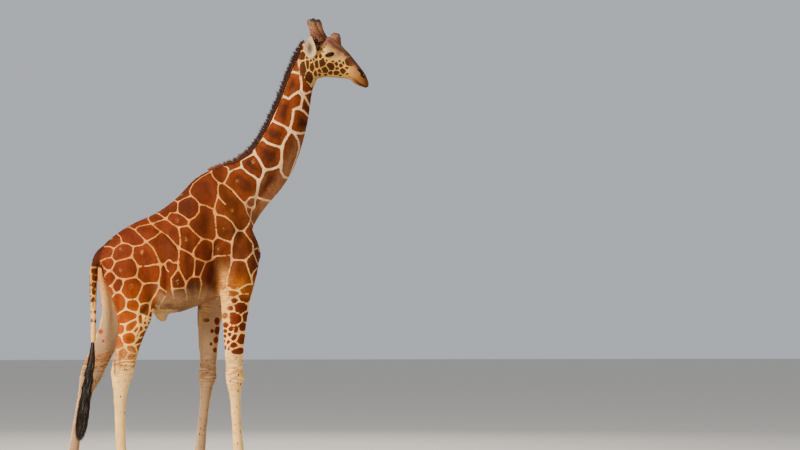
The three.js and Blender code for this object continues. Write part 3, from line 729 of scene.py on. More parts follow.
# spots: x, y in the frame, then half the width and half the height in cm
forearmSpots = [
    (240.5, 308, 4.3, 4.8), (235.5, 318.5, 5.6, 4.4), (245.5, 317, 3.6, 3.8), (225.5, 316, 3.0, 2.0),
    (242.5, 326, 3.3, 3.2), (226, 325, 2.8, 1.8), (231, 328.5, 2.0, 2.0), (236, 328.5, 2.0, 3.0), (225, 331, 1.9, 1.3),
    (230, 335, 2.0, 1.8), (234.5, 337, 3.2, 2.3), (225, 336, 1.7, 1.3), (241.5, 339, 3.8, 3.3), (225, 341.5, 1.4, 1.4),
    (228, 342.5, 2.0, 1.6), (233, 345.5, 3.0, 2.2), (225, 347.5, 1.7, 1.5), (238.5, 351, 5.0, 2.2), (249, 308, 2.9, 3.8),
    (247, 324, 2.3, 2.6), (246, 333, 2.6, 4.2), (244.5, 289.5, 4.2, 3.4), (244, 298, 4.4, 3.4), (233.5, 292.5, 5.2, 2.4),
    (250.5, 300, 2.4, 3.4), (236, 300.5, 3.2, 2.0), (231, 308.5, 2.6, 1.5), (229.5, 319.5, 1.5, 1.6), (246, 344, 1.8, 2.2),
    (229, 348.5, 1.6, 1.3), (222.5, 321, 1.3, 1.2),
]
innerSpots = [
    (217, 321, 2.4, 3.4), (217.5, 330.5, 2.4, 3.8), (216, 340, 2.2, 3.0), (215, 350, 1.8, 2.4), (206, 320, 3.2, 1.8),
    (212, 331, 1.6, 2.0), (211, 344, 1.4, 1.6),
    (97.5, 321, 2.2, 1.6), (100.5, 331.5, 2.4, 2.2), (98, 301, 1.3, 1.2), (103, 341, 1.2, 1.5), (95, 312, 1.2, 1.4),
]
tailSpots = [
    (96.5, 257, 2.4, 3.0), (95.5, 264, 2.3, 2.8), (94.5, 271, 2.2, 2.7), (93.5, 278, 2.1, 2.6), (93, 285, 2.0, 2.5),
    (92.3, 292, 1.9, 2.4), (92, 299, 1.8, 2.3), (91.7, 306, 1.7, 2.0), (91.5, 312, 1.6, 2.0), (91.5, 318.5, 1.4, 1.8),
]
faceSpots = [
    (322, 63, 3.3, 4.0), (325, 69.5, 3.4, 3.1), (330.5, 66.5, 3.8, 3.2), (336, 64, 1.6, 2.0), (337, 68.3, 1.8, 1.2),
    (341, 65.5, 1.7, 1.7), (343, 71, 2.5, 2.4), (336.5, 73, 3.0, 1.9), (330.5, 72.7, 2.3, 1.7), (346.5, 68, 1.9, 1.1),
    (312, 67, 2.2, 3.9), (317, 64, 2.3, 3.4), (307.5, 64, 1.7, 4.6), (302.5, 56, 2.8, 3.6), (303, 69, 2.7, 6.6),
    (309, 77.5, 3.2, 5.0), (320, 71, 2.3, 1.8), (315.5, 73.5, 1.5, 2.8), (320.5, 57, 1.3, 2.6), (316, 57.5, 1.5, 1.9),
    (350.5, 61.5, 4.6, 3.8), (347, 54.5, 2.4, 1.7), (314, 59.5, 1.2, 1.3), (311, 61, 1.2, 1.4), (307, 58, 1.7, 1.5),
    (318, 39.5, 1.8, 1.4), (321, 39, 1.5, 1.7), (319, 44, 1.9, 1.6), (322.5, 44, 1.5, 1.5), (318.5, 48.5, 2.0, 1.9),
    (321.5, 49.3, 1.5, 1.6), (324, 47, 1.2, 1.1), (319.5, 74.5, 1.3, 1.4), (339.5, 61, 1.2, 1.0), (305.5, 41.5, 2.0, 2.0),
    (306.5, 86.5, 2.6, 4.6), (343.5, 63, 1.0, 1.6), (340, 75, 1.7, 1.1), (347, 74, 1.5, 1.0), (325.5, 74.5, 1.6, 1.1),
    (302, 48, 1.7, 2.0), (326, 60.5, 1.4, 1.0), (333, 61.5, 1.5, 0.9), (315.5, 38.5, 1.3, 1.6), (324.5, 41, 1.3, 1.4),
    (316, 43.5, 1.2, 1.8), (325.5, 44, 1.1, 1.1), (316.5, 47.5, 1.1, 1.3), (323, 51.5, 1.2, 0.9), (320, 35.5, 1.3, 1.2),
]
marking = dict(body=0.0066, back=0.0048, neck=0.0112, gaskin=0.0066, rounding=0.0070, snap=0.0068, warp=0.05, step=2.2,
               longest=0.13, foreEnd=1.945, hindEnd=1.285, headEnd=0.012)
frameSize = (800, 450)
cameraTurn = np.array(camera.rotation_euler.to_matrix())


def castFrame(tree, x, y):
    # the skin under a point of the camera's frame; past the skin's edge, the nearest skin
    across = cameraSet["sensor"] / cameraSet["lens"] / frameSize[0]
    way = Vector(cameraTurn @ np.array(((x - frameSize[0] / 2) * across, (frameSize[1] / 2 - y) * across, -1.0)))
    start = Vector(cameraSet["place"])
    hit = tree.ray_cast(start, way.normalized())[0]
    if hit is None:
        hit = tree.find_nearest(start - way * (start.y / way.y))[0]
    return hit


def farWarp(p):
    # the left side's patches differ a little from the right side's, and meet them at the spine
    amount = marking["warp"] * float(smoothStep(0.04, 0.16, abs(p.y)))
    at = Vector((p.x * 2.1, p.z * 2.1, 5.0))
    return amount * noise.noise(at), amount * noise.noise(at + Vector((9, 3, 1)))


def layLine(tree, line):
    near = []
    for (x0, y0), (x1, y1) in zip(line[:-1], line[1:]):
        steps = max(1, round(math.hypot(x1 - x0, y1 - y0) / marking["step"]))
        near += [castFrame(tree, x0 + (x1 - x0) * k / steps, y0 + (y1 - y0) * k / steps) for k in range(steps)]
    near.append(castFrame(tree, *line[-1]))
    far = []
    for p in near:
        dx, dz = farWarp(p)
        far.append(castSide(tree, p.x + float(farShift(p.x, p.z)) + dx, p.z + dz, 1))
    return np.array(near), np.array(far)


def lineWidth(co):
    x, z = co[:, 0], co[:, 2]
    neckSide = smoothStep(0.0, 0.18, x - 0.30 - (2.9 - z) * 0.3) * smoothStep(2.55, 2.75, z)
    width = marking["body"] + (marking["neck"] - marking["body"]) * neckSide
    back = smoothStep(0.30, 0.12, backHeight(x) - z) * (1 - neckSide) * smoothStep(0.25, -0.1, x)
    width = width + (marking["back"] - width) * back
    leg = smoothStep(1.85, 1.6, z)
    return width + (marking["gaskin"] - width) * leg


def backHeight(x):
    # height of the spine from the croup to the withers
    return np.interp(x, (-1.25, -0.95, -0.45, 0.0, 0.45), (2.25, 2.52, 2.76, 3.10, 3.45))


def headMirror(p):
    return fromHead(toHead(p) * (1, -1, 1))


def sideMirror(p):
    shift = float(farShift(p[0], p[2])) if p[1] < 0 else -float(farShift(p[0] + 0.28, p[2]))
    return p * (1, -1, 1) + np.array((shift, 0, 0))


def spotField(co, tree, spots, mirror, swell=1.0, parting=0.0):
    # roughly how far inside the nearest spot's edge each point is; swollen spots press on each other
    # like cells, and a pale line of twice the parting stays between them
    best, second = np.full(len(co), -1.0), np.full(len(co), -1.0)
    for x, y, wide, high in spots:
        seen = np.array(castFrame(tree, x, y))
        wide, high = wide * swell, high * swell
        size = min(wide, high) / 100
        axes = [cameraTurn[:, 0] * 100 / wide, cameraTurn[:, 1] * 100 / high, cameraTurn[:, 2] / (2.2 * size)]
        for turned in (False, True):
            middle = seen
            if turned:
                axes = [unit(mirror(seen + unit(a) * 0.01) - mirror(seen)) * np.linalg.norm(a) for a in axes]
                middle = np.array(tree.find_nearest(Vector(mirror(seen)))[0])
            near = np.nonzero(np.linalg.norm(co - middle, axis=1) < 0.12)[0]
            r = np.sqrt(sum(((co[near] - middle) @ a) ** 2 for a in axes))
            value = (1 - r) * size
            second[near] = np.maximum(second[near], np.minimum(value, best[near]))
            best[near] = np.maximum(best[near], value)
    if parting:
        best = np.minimum(best, (best - second) / 2 - parting)
    return best


def crossBack(tree, end):
    # from a line's end on the right side, up over the spine to the same place on the left
    near, far = [placed[0] for placed in layLine(tree, [end, end])]
    crossing = []
    for t in np.linspace(0, 1, 15):
        at = near + (far - near) * t + (0.03 * math.sin(math.pi * t) * math.sin(near[0] * 23), 0, 0)
        crossing.append(tree.ray_cast(Vector((at[0], at[1], 4.0)), Vector((0, 0, -1)))[0] or Vector(at))
    return np.array(crossing)


def breastLine(tree, line):
    placed = []
    for (y0, z0), (y1, z1) in zip(line[:-1], line[1:]):
        for t in np.linspace(0, 1, 7):
            start = Vector((2.5, (y0 + (y1 - y0) * t) / 100, (z0 + (z1 - z0) * t) / 100))
            placed.append(tree.ray_cast(start, Vector((-1, 0, 0)))[0] or tree.find_nearest(start)[0])
    return np.array(placed)


def layNetwork():
    tree = skinTree(skinMesh)
    co, normals = coordsOf(skinMesh), normalsOf(skinMesh)
    total = np.zeros(len(co))
    nearest = np.full(len(co), 9.0)
    foot = co.copy()
    laid = [layLine(tree, line) for line in rearLines + foreLines + neckLines + gaskinLines]
    laid += [[crossBack(tree, end)] for end in overBack]
    laid += [[breastLine(tree, line)] for line in breastLines]
    for both in laid:
        for placed in both:
            low, high = placed.min(axis=0) - 0.06, placed.max(axis=0) + 0.06
            near = np.nonzero(np.all((co > low) & (co < high), axis=1))[0]
            d = np.full(len(near), 9.0)
            at = np.zeros((len(near), 3))
            for a, b in zip(placed[:-1], placed[1:]):
                if np.linalg.norm(b - a) > marking["longest"]:
                    continue
                way, spot = segmentDistance(co[near], a, b)
                closer = way < d
                d[closer] = way[closer]
                at[closer] = spot[closer]
            total[near] += np.exp(-d / marking["rounding"])
            better = d < nearest[near]
            nearest[near[better]] = d[better]
            foot[near[better]] = at[better]
    # points close to a line's middle slide onto it, so that thin lines stay whole
    snapped = nearest < marking["snap"]
    slide = foot[snapped] - co[snapped]
    slide -= normals[snapped] * np.sum(slide * normals[snapped], axis=1, keepdims=True)
    co[snapped] += slide
    setCoords(skinMesh, co)
    soft = np.minimum(-marking["rounding"] * np.log(np.maximum(total, 1e-7)), 0.10)
    soft[snapped] = np.minimum(soft[snapped], 0)
    return soft - lineWidth(co), tree


lineMark, markTree = layNetwork()
print("network laid on both sides")


def triangulate(values):
    # each quad is split along the diagonal that keeps a pale line whole
    bm = bmesh.new()
    bm.from_mesh(skinMesh)
    for f in [f for f in bm.faces if len(f.verts) == 4]:
        a, b, c, d = f.verts
        if values[a.index] + values[c.index] <= values[b.index] + values[d.index]:
            bmesh.utils.face_split(f, a, c)
        else:
            bmesh.utils.face_split(f, b, d)
    bmesh.ops.triangulate(bm, faces=[f for f in bm.faces if len(f.verts) > 4])
    for f in bm.faces:
        f.smooth = True
    bm.to_mesh(skinMesh)
    bm.free()


triangulate(lineMark)
print("skin triangles:", len(skinMesh.polygons))


# ---- zones of the skin: where the network ends, and the colours of ground and patches

skinCo, skinNormal = coordsOf(skinMesh), normalsOf(skinMesh)
skinOwner = np.array(flesh)[partOf(skinCo)]
skinHead = toHead(skinCo)
onEar = np.char.startswith(skinOwner, "ear")
onLeg = np.char.startswith(skinOwner, "leg")
onTail = skinOwner == "tail"


def paint(code, strength=1.0):
    # a screen colour as linear light; above 1, strength makes it more saturated
    c = np.array([int(code[k:k + 2], 16) / 255 for k in (1, 3, 5)])
    c = np.where(c <= 0.04045, c / 12.92, ((c + 0.055) / 1.055) ** 2.4)
    grey = c @ (0.2126, 0.7152, 0.0722)
    return np.clip(grey + (c - grey) * strength, 0.001, 1)


def blend(base, colour, weight):
    return base + (colour - base) * np.asarray(weight)[:, None]


def shiftedX(co):
    # far-side points brought to where the near side's stand
    return co[:, 0] - np.where(co[:, 1] > 0, farShift(co[:, 0], co[:, 2]), 0)


def markField():
    x, z = shiftedX(skinCo), skinCo[:, 2]
    inward = -np.sign(skinCo[:, 1]) * skinNormal[:, 1]
    value = lineMark.copy()
    ragged = np.array([noise.noise(Vector(p) * 17) for p in skinCo]) * 0.035
    foreEnd = marking["foreEnd"] + 0.05 * np.sin(skinCo[:, 1] * 60) * smoothStep(0.1, 0.6, skinNormal[:, 0])
    foreZone = np.where((x > -0.2) & (z < 2.1), z - foreEnd + 2 * ragged + 3 * np.clip(0.02 - x, 0, 1), 1.0)
    hindZone = np.where((x < -0.45) & (z < 1.6), z - marking["hindEnd"] + ragged, 1.0)
    value = np.where((x > -0.66) & (x < -0.40) & (z < 1.76), -0.05, value)
    headZone = marking["headEnd"] - skinHead[:, 0] + np.clip(-skinHead[:, 2] - 0.14, 0, 0.15) * 0.85
    value = np.minimum(value, np.minimum(foreZone, np.minimum(hindZone, headZone)))
    legHeight = smoothStep(2.0, 1.8, z)
    value -= 0.12 * smoothStep(0.25, 0.6, inward) * legHeight * onLeg
    value -= 0.12 * smoothStep(0.1, 0.4, inward) * smoothStep(2.22, 2.10, z) * (x < -0.5)
    value -= 0.2 * onTail
    outer = spotField(skinCo, markTree, forearmSpots, sideMirror, 1.62, 0.0062)
    outer -= 0.03 * smoothStep(0.1, 0.4, inward)
    outer = np.minimum(outer, lineMark)
    spots = np.maximum(outer, spotField(skinCo, markTree, innerSpots, sideMirror, 1.15, 0.004))
    spots = np.maximum(spots, spotField(skinCo, markTree, tailSpots, sideMirror, 1.7, 0.004))
    spots = np.maximum(spots, spotField(skinCo, markTree, faceSpots, headMirror, 1.3, 0.0036))
    spots[onEar] = -1
    return np.maximum(value, spots)


mark = markField()
neighbours = edgesOf(skinMesh)


def patchNumbers():
    # patches are counted by walking over points that hang together inside them
    links = [[] for _ in range(len(mark))]
    inside = mark > 0.0015
    for a, b in neighbours[inside[neighbours[:, 0]] & inside[neighbours[:, 1]]]:
        links[a].append(b)
        links[b].append(a)
    number = np.zeros(len(mark), dtype=int)
    count = 0
    for start in np.nonzero(inside)[0]:
        if number[start]:
            continue
        count += 1
        number[start] = count
        queue = [start]
        while queue:
            for other in links[queue.pop()]:
                if not number[other]:
                    number[other] = count
                    queue.append(other)
    return number, count


patchOf, patchCount = patchNumbers()
deepest = np.zeros(patchCount + 1)
np.maximum.at(deepest, patchOf, np.maximum(mark, 0))
inner = np.clip(mark / np.maximum(deepest[patchOf], 0.02), 0, 1) * smoothStep(0.012, 0.03, deepest[patchOf])
print("patches:", patchCount)


# ---- colours of the ground and of the patches, point by point

# flank is a dark brown for the lower flank, also used as painted shade in creases, the buttock cleft, behind the
# shoulder and on the hind legs' fronts
shades = dict(
    trunk="#5c260a", rump="#602608", shoulder="#602c12", neck="#622c0c", neckCore="#2e1007", fadedNeck="#9c6444",
    belly="#8e6a4c", arm="#94501a", forearm="#642604", gaskin="#8c4404", face="#3e2009", tail="#4e260e",
    groundTrunk="#c4854c", groundNeck="#deb486", groundLeg="#f0bc74", groundLow="#fccb86", groundFace="#c89c5c",
    groundBelly="#b89a7c", groundInner="#947860", temple="#7a4c3e", forehead="#785040", muzzle="#8a5a32",
    lips="#402a20", nostril="#140c0a", lidRimAndLashShade="#1a100d", earInside="#b4a184", earBack="#b08048", noseTop="#523a32",
    streak="#5e2010", elbow="#c48c54", flank="#361404", brow="#c8aa84", saddle="#865e4a", ridge="#4c2a20", wrinkle="#b06c32",
    conchShade="#4c3c2c", mouth="#5c3416", pale="#c88a50", nosePink="#a87050")
light = {name: paint(code, 1.12) for name, code in shades.items()}
rng = np.random.default_rng(12)


washes = [
    dict(place="forehead", at=(330, 41), reach=0.062, shade="forehead", share=0.85),
    dict(place="brow", at=(337, 43.5), reach=0.055, shade="forehead", share=0.85),
    dict(place="before the eye", at=(340.5, 50), reach=0.055, shade="saddle", share=0.9),
    dict(place="side of the nose", at=(346, 56), reach=0.036, shade="saddle", share=0.7),
    dict(place="pale brow", at=(325, 49.5), reach=0.026, shade="brow", share=0.9),
    dict(place="tear side", at=(338, 58), reach=0.024, shade="brow", share=0.4),
    dict(place="temple", at=(320, 43), reach=0.055, shade="temple", share=0.8),
    dict(place="over the eye", at=(333, 46), reach=0.042, shade="saddle", share=0.85),
    dict(place="corner of the eye", at=(338, 54), reach=0.036, shade="saddle", share=0.75),
    dict(place="hollow under the horns", at=(327, 44), reach=0.036, shade="forehead", share=0.7),
    dict(place="chin", at=(357, 82), reach=0.034, shade="mouth", share=0.75),
    dict(place="upper lip", at=(366, 83), reach=0.030, shade="mouth", share=0.7),
    dict(place="bridge of the nose", at=(358, 68), reach=0.024, shade="noseTop", share=0.6),
    dict(place="behind the nostril", at=(355.5, 69), reach=0.028, shade="nosePink", share=0.8),
]
ridgeLine = [(338, 36), (344, 45), (350, 55), (356, 64), (362, 72)]


def headSpot(x, y, z, reach):
    # weight around a place of the head, the same on both sides
    return np.exp(-(np.linalg.norm(foldedHead(skinHead) - (x, y, z), axis=1) / reach) ** 2)


def foldedHead(points):
    # the head's two sides laid on each other
    return np.abs(points * (0, 1, 0)) + points * (1, 0, 1)


def wash(x, y, reach):
    return headSpot(*foldedHead(toHead(np.array(castFrame(markTree, x, y)))), reach)


def hySide(points):
    # which side of the head's middle a point is on
    return points[:, 1] + 1e-6


def makeTints():
    x, z = shiftedX(skinCo), skinCo[:, 2]
    n = skinNormal
    creaseShade = np.empty(len(skinCo))
    skinMesh.attributes["creaseShade"].data.foreach_get("value", creaseShade)
    inward = -np.sign(skinCo[:, 1]) * n[:, 1]
    count = len(skinCo)
    headX = skinHead[:, 0]
    head = smoothStep(-0.03, 0.03, headX - np.clip(-skinHead[:, 2] - 0.14, 0, 0.15) * 0.85) * (z > 3.9)
    neck = smoothStep(0.15, 0.45, x - (2.75 - z) * 0.5) * smoothStep(2.35, 2.6, z)
    legFront = smoothStep(2.25, 1.95, z) * smoothStep(-0.10, -0.01, x)
    legHind = smoothStep(2.15, 1.65, z) * (x < -0.45)
    under = smoothStep(-0.15, -0.75, n[:, 2]) * smoothStep(2.15, 1.9, z) * (1 - legFront * smoothStep(1.9, 1.8, z))
    low = smoothStep(1.42, 1.25, z)
    # the patches
    patch = np.tile(light["trunk"], (count, 1))
    patch = blend(patch, light["rump"], smoothStep(-0.45, -0.8, x) * 0.9)
    patch = blend(patch, light["flank"], smoothStep(2.15, 1.85, z) * (np.abs(x + 0.25) < 0.3) * 0.8)
    patch = blend(patch, light["shoulder"], smoothStep(-0.15, 0.1, x) * (1 - neck))
    patch = blend(patch, light["neck"], neck)
    forward = n[:, 0] * 0.85 - n[:, 2] * 0.5
    faded = neck * smoothStep(0.05, 0.55, forward) * smoothStep(3.62, 3.3, z)
    patch = blend(patch, light["fadedNeck"], faded * 0.8)
    patch = blend(patch, light["arm"], legFront * smoothStep(2.2, 2.0, z))
    patch = blend(patch, light["forearm"], legFront * smoothStep(1.95, 1.8, z))
    patch = blend(patch, light["gaskin"], legHind)
    # painted shade: the hind legs' forward-facing side darkened with the dark flank brown
    patch = blend(patch, light["flank"], legHind * smoothStep(0.25, 0.7, n[:, 0]) * 0.6)
    patch = blend(patch, light["pale"], legHind * smoothStep(1.44, 1.31, z) * 0.75)
    patch = blend(patch, light["belly"], under * 0.85)
    patch = blend(patch, light["face"], head)
    patch = blend(patch, light["tail"], onTail)
    elbow = np.exp(-((x - 0.03) / 0.065) ** 2 - ((z - 1.95) / 0.26) ** 4) * smoothStep(-0.07, 0.0, x) * (z < 2.3)
    patch = blend(patch, light["elbow"], elbow * 0.85)
    shadow = np.exp(-((x + 0.035) / 0.05) ** 2) * smoothStep(2.45, 2.3, z) * smoothStep(1.85, 2.0, z)
    patch = blend(patch, light["flank"], shadow * 0.7)
    # painted shade in the creases beside narrow hollows, in the dark flank brown
    patch = blend(patch, light["flank"], creaseShade * 0.55 * (1 - under))
    bellyLow = smoothStep(1.98, 1.80, z) * (np.abs(x + 0.28) < 0.32) * smoothStep(0.05, -0.05, x)
    patch = blend(patch, light["belly"], bellyLow * 0.8)
    tone = rng.normal(0, 0.10, (patchCount + 1, 1)) + rng.normal(0, 0.03, (patchCount + 1, 3))
    patch *= 1 + tone[patchOf]
    # darker hearts of the neck's patches and slightly darker middles in the others; small pale flecks come later, in
    # paleHearts
    patch = blend(patch, light["neckCore"], neck * (1 - faded) * smoothStep(0.35, 0.9, inner) * 0.75)
    patch = patch * (1 - 0.16 * smoothStep(0.2, 0.9, inner) * (1 - neck))[:, None]
    ridge = smoothStep(0.10, 0.0, backHeight(x) - z) * (1 - head) * (x < 0.3)
    patch *= (1 - 0.12 * ridge)[:, None]
    # the ground between them
    ground = np.tile(light["groundTrunk"], (count, 1))
    ground = blend(ground, light["groundNeck"], np.maximum(neck, smoothStep(-0.1, 0.2, x) * 0.5))
    ground = blend(ground, light["groundLeg"], np.maximum(legFront, legHind))
    ground = blend(ground, light["groundLow"], low)
    # inner faces of the legs: a greyer ground, partly painted shade between the legs
    ground = blend(ground, light["groundInner"], smoothStep(0.2, 0.7, inward) * np.maximum(legFront, legHind) * 0.9)
    ground = blend(ground, light["elbow"], elbow * 0.5)
    # downward-facing skin and the lower belly take the belly's greyer ground, darkened as painted shade under the
    # barrel; the sheath takes the same dark grey-brown
    sheath = np.exp(-((x + 0.50) / 0.09) ** 2) * smoothStep(1.84, 1.76, z) * (np.abs(skinCo[:, 1]) < 0.11)
    ground = blend(ground, light["groundBelly"] * 0.62, np.maximum(np.maximum(under * 0.7, bellyLow * 0.5), sheath * 0.8))
    # painted shade: the ground darkened in the same creases
    ground = blend(ground, ground * 0.55, creaseShade * 0.7)
    # painted shadow in the cleft between the buttocks beside the tail's root
    cleft = smoothStep(-1.02, -1.10, skinCo[:, 0]) * smoothStep(0.10, 0.05, np.abs(skinCo[:, 1])) * smoothStep(1.9, 2.1, z)
    cleft *= 1 - onTail
    for tint in (ground, patch):
        tint[:] = blend(tint, light["flank"], cleft * 0.75)
    bands = 0.5 + 0.5 * np.sin(z * 2 * math.pi / 0.034 + 9 * x)
    ground = blend(ground, light["wrinkle"], 0.75 * bands * legHind * smoothStep(1.17, 1.21, z) * smoothStep(1.37, 1.32, z))
    ground = blend(ground, light["groundFace"], head)
    # painted shade: the face's ground darker where it faces down, under the jaw
    ground = blend(ground, ground * 0.62, head * smoothStep(0.1, 0.7, -n[:, 2]))
    # the face
    aside = np.abs(skinHead[:, 1])
    hx, hz = skinHead[:, 0], skinHead[:, 2]
    top = smoothStep(0.35, 0.85, n @ headTurn[:, 2])
    headNormal = n @ headTurn
    inEar = onEar * smoothStep(-0.1, 0.35, headNormal[:, 1] * np.sign(hySide(skinHead)))
    # painted shade in the hollow of each ear's inside, strongest at its middle
    conchShade = np.zeros(count)
    for ear in ("ear_right", "ear_left"):
        own = skinOwner == ear
        low, high = skinCo[own].min(axis=0), skinCo[own].max(axis=0)
        middle = (low + high) / 2 - (0, 0, 0.022)
        conchShade[own] = np.exp(-np.sum(((skinCo[own] - middle) / (0.030, 0.07, 0.062)) ** 2, axis=1) ** 2)
    both = [(ground, 1.0), (patch, 0.6)]
    ridge = head * smoothStep(0.15, 0.75, headNormal[:, 2])
    placed = foldedHead(toHead(np.array([castFrame(markTree, *p) for p in ridgeLine])))
    alongRidge = np.exp(-(lineDistance(foldedHead(skinHead), placed) / 0.026) ** 2)
    for tint, share in both:
        tint[:] = blend(tint, light["forehead"], ridge * smoothStep(0.72, 0.48, hx) * 0.92 * share)
        tint[:] = blend(tint, light["muzzle"], head * smoothStep(0.50, 0.64, hx - hz * 0.25) * 0.9 * share)
        for place in washes:
            weight = wash(*place["at"], place["reach"]) * place["share"] * share
            tint[:] = blend(tint, light[place["shade"]], weight * (z > 3.9))
        tint[:] = blend(tint, light["ridge"], alongRidge * 0.75)
        tint[:] = blend(tint, light["noseTop"], ridge * smoothStep(0.50, 0.60, hx) * 0.85)
        tint[:] = blend(tint, light["mouth"], head * smoothStep(0.57, 0.66, hx) * smoothStep(-0.16, -0.21, hz) * 0.7)
        tint[:] = blend(tint, light["earBack"], onEar * 0.8)
        tint[:] = blend(tint, light["earInside"], inEar * 0.95)
        # painted shade deep in the ear's hollow
        tint[:] = blend(tint, light["conchShade"], inEar * conchShade * 0.95)
    # bare dark skin at nostrils, lips and lids, and painted shadow of the lashes round each eye
    bareSkinAndLashShade = np.zeros(count)
    tree = skinTree(skinMesh)
    near = np.nonzero((hx > 0.45) & (z > 3.8))[0]
    for side in (-1, 1):
        nostril = onSkinLine(tree, muzzle["nostril"], side)
        lip = onSkinLine(tree, muzzle["mouth"], side)
        d = lineDistance(skinCo[near], nostril)
        bareSkinAndLashShade[near] = np.maximum(bareSkinAndLashShade[near], smoothStep(0.026, 0.008, d))
        d = lineDistance(skinCo[near], lip)
        front = smoothStep(0.50, 0.62, hx[near])
        bareSkinAndLashShade[near] = np.maximum(bareSkinAndLashShade[near], 0.85 * smoothStep(0.020, 0.006, d) * (0.35 + 0.65 * front))
        centre, axis, ahead, up = eyeFrame(side)
        local = skinHead - centre
        # round the eye a dark ellipse larger than the opening: the lids' dark rims, and painted shadow of the lashes
        # beyond them
        out = np.hypot((local @ ahead - 0.006) / 0.053, (local @ up) / 0.0235)
        bareSkinAndLashShade = np.maximum(bareSkinAndLashShade, smoothStep(1.15, 0.75, out) * (local @ axis > -0.01) * (np.linalg.norm(local, axis=1) < 0.07))
    for tint in (ground, patch):
        tint[:] = blend(tint, light["lips"], np.clip(bareSkinAndLashShade * 1.1, 0, 1))
        tint[:] = blend(tint, light["nostril"], smoothStep(0.55, 1.0, bareSkinAndLashShade) * (hx > 0.6) * 0.9)
        # the lids' dark rims, spreading out as painted shadow of the lashes
        tint[:] = blend(tint, light["lidRimAndLashShade"], smoothStep(0.6, 1.0, bareSkinAndLashShade) * (hx < 0.5))
    # dark streak inside the hock
    streak = np.exp(-((x + 1.02) / 0.012) ** 2) * smoothStep(1.10, 1.14, z) * smoothStep(1.30, 1.24, z)
    for tint in (ground, patch):
        tint[:] = blend(tint, light["streak"], streak * (np.abs(skinCo[:, 1]) > 0.2) * 0.85)
    return np.clip(ground, 0.001, 1), np.clip(patch, 0.001, 1), bareSkinAndLashShade


def foldZones():
    # where loose skin lies in creases: elbow, knee, hock, fetlock
    x, z = shiftedX(skinCo), skinCo[:, 2]
    front = onLeg * (x > -0.2)
    rear = onLeg * (x < -0.4)
    elbow = np.exp(-((x - 0.08) / 0.14) ** 2) * smoothStep(1.60, 1.78, z) * smoothStep(2.30, 2.02, z)
    knee = front * np.exp(-((z - 1.14) / 0.17) ** 2) * 0.7
    hock = rear * np.exp(-((z - 1.22) / 0.13) ** 2) * 0.8
    fetlock = onLeg * np.exp(-((z - 0.24) / 0.06) ** 2) * 0.5
    return np.clip(elbow * 0.5 + knee + hock + fetlock, 0, 1)


groundTint, patchTint, bareSkinAndLashShade = makeTints()
fleckZone = smoothStep(1.40, 1.20, skinCo[:, 2])


def paleHearts():
    # a ragged pale fleck near the middle of about half the larger patches
    fleck = np.zeros(len(skinCo))
    for number in range(1, patchCount + 1):
        if deepest[number] < 0.03 or rng.random() < 0.5:
            continue
        own = np.nonzero(patchOf == number)[0]
        heart = skinCo[own[np.argmax(mark[own])]]
        if heart[2] < 1.95 or heart[2] > 3.3:
            continue
        shift = rng.normal(0, 0.012, 3)
        d = (skinCo[own] - heart - shift) / (0.018, 0.04, 0.030)
        fleck[own] = np.maximum(fleck[own], smoothStep(1.3, 0.4, np.linalg.norm(d, axis=1)))
    return fleck


heartFleck = paleHearts()


for name, values in (("mark", mark), ("inner", inner), ("bareSkinAndLashShade", bareSkinAndLashShade), ("flecks", fleckZone), ("folds", foldZones()),
                     ("heart", heartFleck), ("breadth", np.where(onLeg, 1.0, 0.0))):
    addValues(skinMesh, name, values)
addValues(skinMesh, "groundTint", groundTint, "FLOAT_COLOR")
addValues(skinMesh, "patchTint", patchTint, "FLOAT_COLOR")


def unwrapSkin():
    # four quarters of the map: head, neck, trunk with tail, legs
    faceOwner = skinOwner[[p.vertices[0] for p in skinMesh.polygons]]
    isHead = np.isin(faceOwner, ("head", "ear_right", "ear_left"))
    isLeg = np.char.startswith(faceOwner, "leg")
    isNeck = faceOwner == "neck"
    groups = [isHead, isNeck, isLeg, ~(isHead | isNeck | isLeg)]
    skinMesh.uv_layers.new(name="OFBake")
    pick(skinPiece)
    for number, group in enumerate(groups):
        bpy.ops.object.mode_set(mode="OBJECT")
        skinMesh.polygons.foreach_set("select", group)
        skinMesh.vertices.foreach_set("select", np.zeros(len(skinMesh.vertices), dtype=bool))
        skinMesh.edges.foreach_set("select", np.zeros(len(skinMesh.edges), dtype=bool))
        bpy.ops.object.mode_set(mode="EDIT")
        bpy.ops.mesh.select_mode(type="FACE")
        bpy.ops.uv.smart_project(angle_limit=math.radians(66), island_margin=0.002)
        bpy.ops.object.mode_set(mode="OBJECT")
        layer = skinMesh.uv_layers["OFBake"].data
        uv = np.empty(len(layer) * 2, dtype=np.float32)
        layer.foreach_get("uv", uv)
        uv = uv.reshape(-1, 2)
        loops = np.repeat(group, 3)
        corner = np.array((number % 2, number // 2)) * 0.5
        uv[loops] = uv[loops] * 0.494 + 0.003 + corner
        layer.foreach_set("uv", uv.ravel())
    return uv


skinUv = unwrapSkin()
print("skin unwrapped")


# ---- materials

def newMaterial(name):
    material = bpy.data.materials.new(name)
    material.use_nodes = True
    nodes = material.node_tree.nodes
    return material, nodes, material.node_tree.links, nodes["Principled BSDF"]


def attribute(nodes, name, kind="GEOMETRY"):
    found = nodes.new("ShaderNodeAttribute")
    found.attribute_type = kind
    found.attribute_name = name
    return found


def noiseAt(nodes, links, scale, stretch=(1, 1, 1), detail=2.0, rough=0.5):
    place = nodes.new("ShaderNodeTexCoord")
    mapping = nodes.new("ShaderNodeMapping")
    mapping.inputs["Scale"].default_value = stretch
    links.new(place.outputs["Object"], mapping.inputs["Vector"])
    grain = nodes.new("ShaderNodeTexNoise")
    grain.inputs["Scale"].default_value = scale
    grain.inputs["Detail"].default_value = detail
    grain.inputs["Roughness"].default_value = rough
    links.new(mapping.outputs["Vector"], grain.inputs["Vector"])
    return grain.outputs["Fac"]


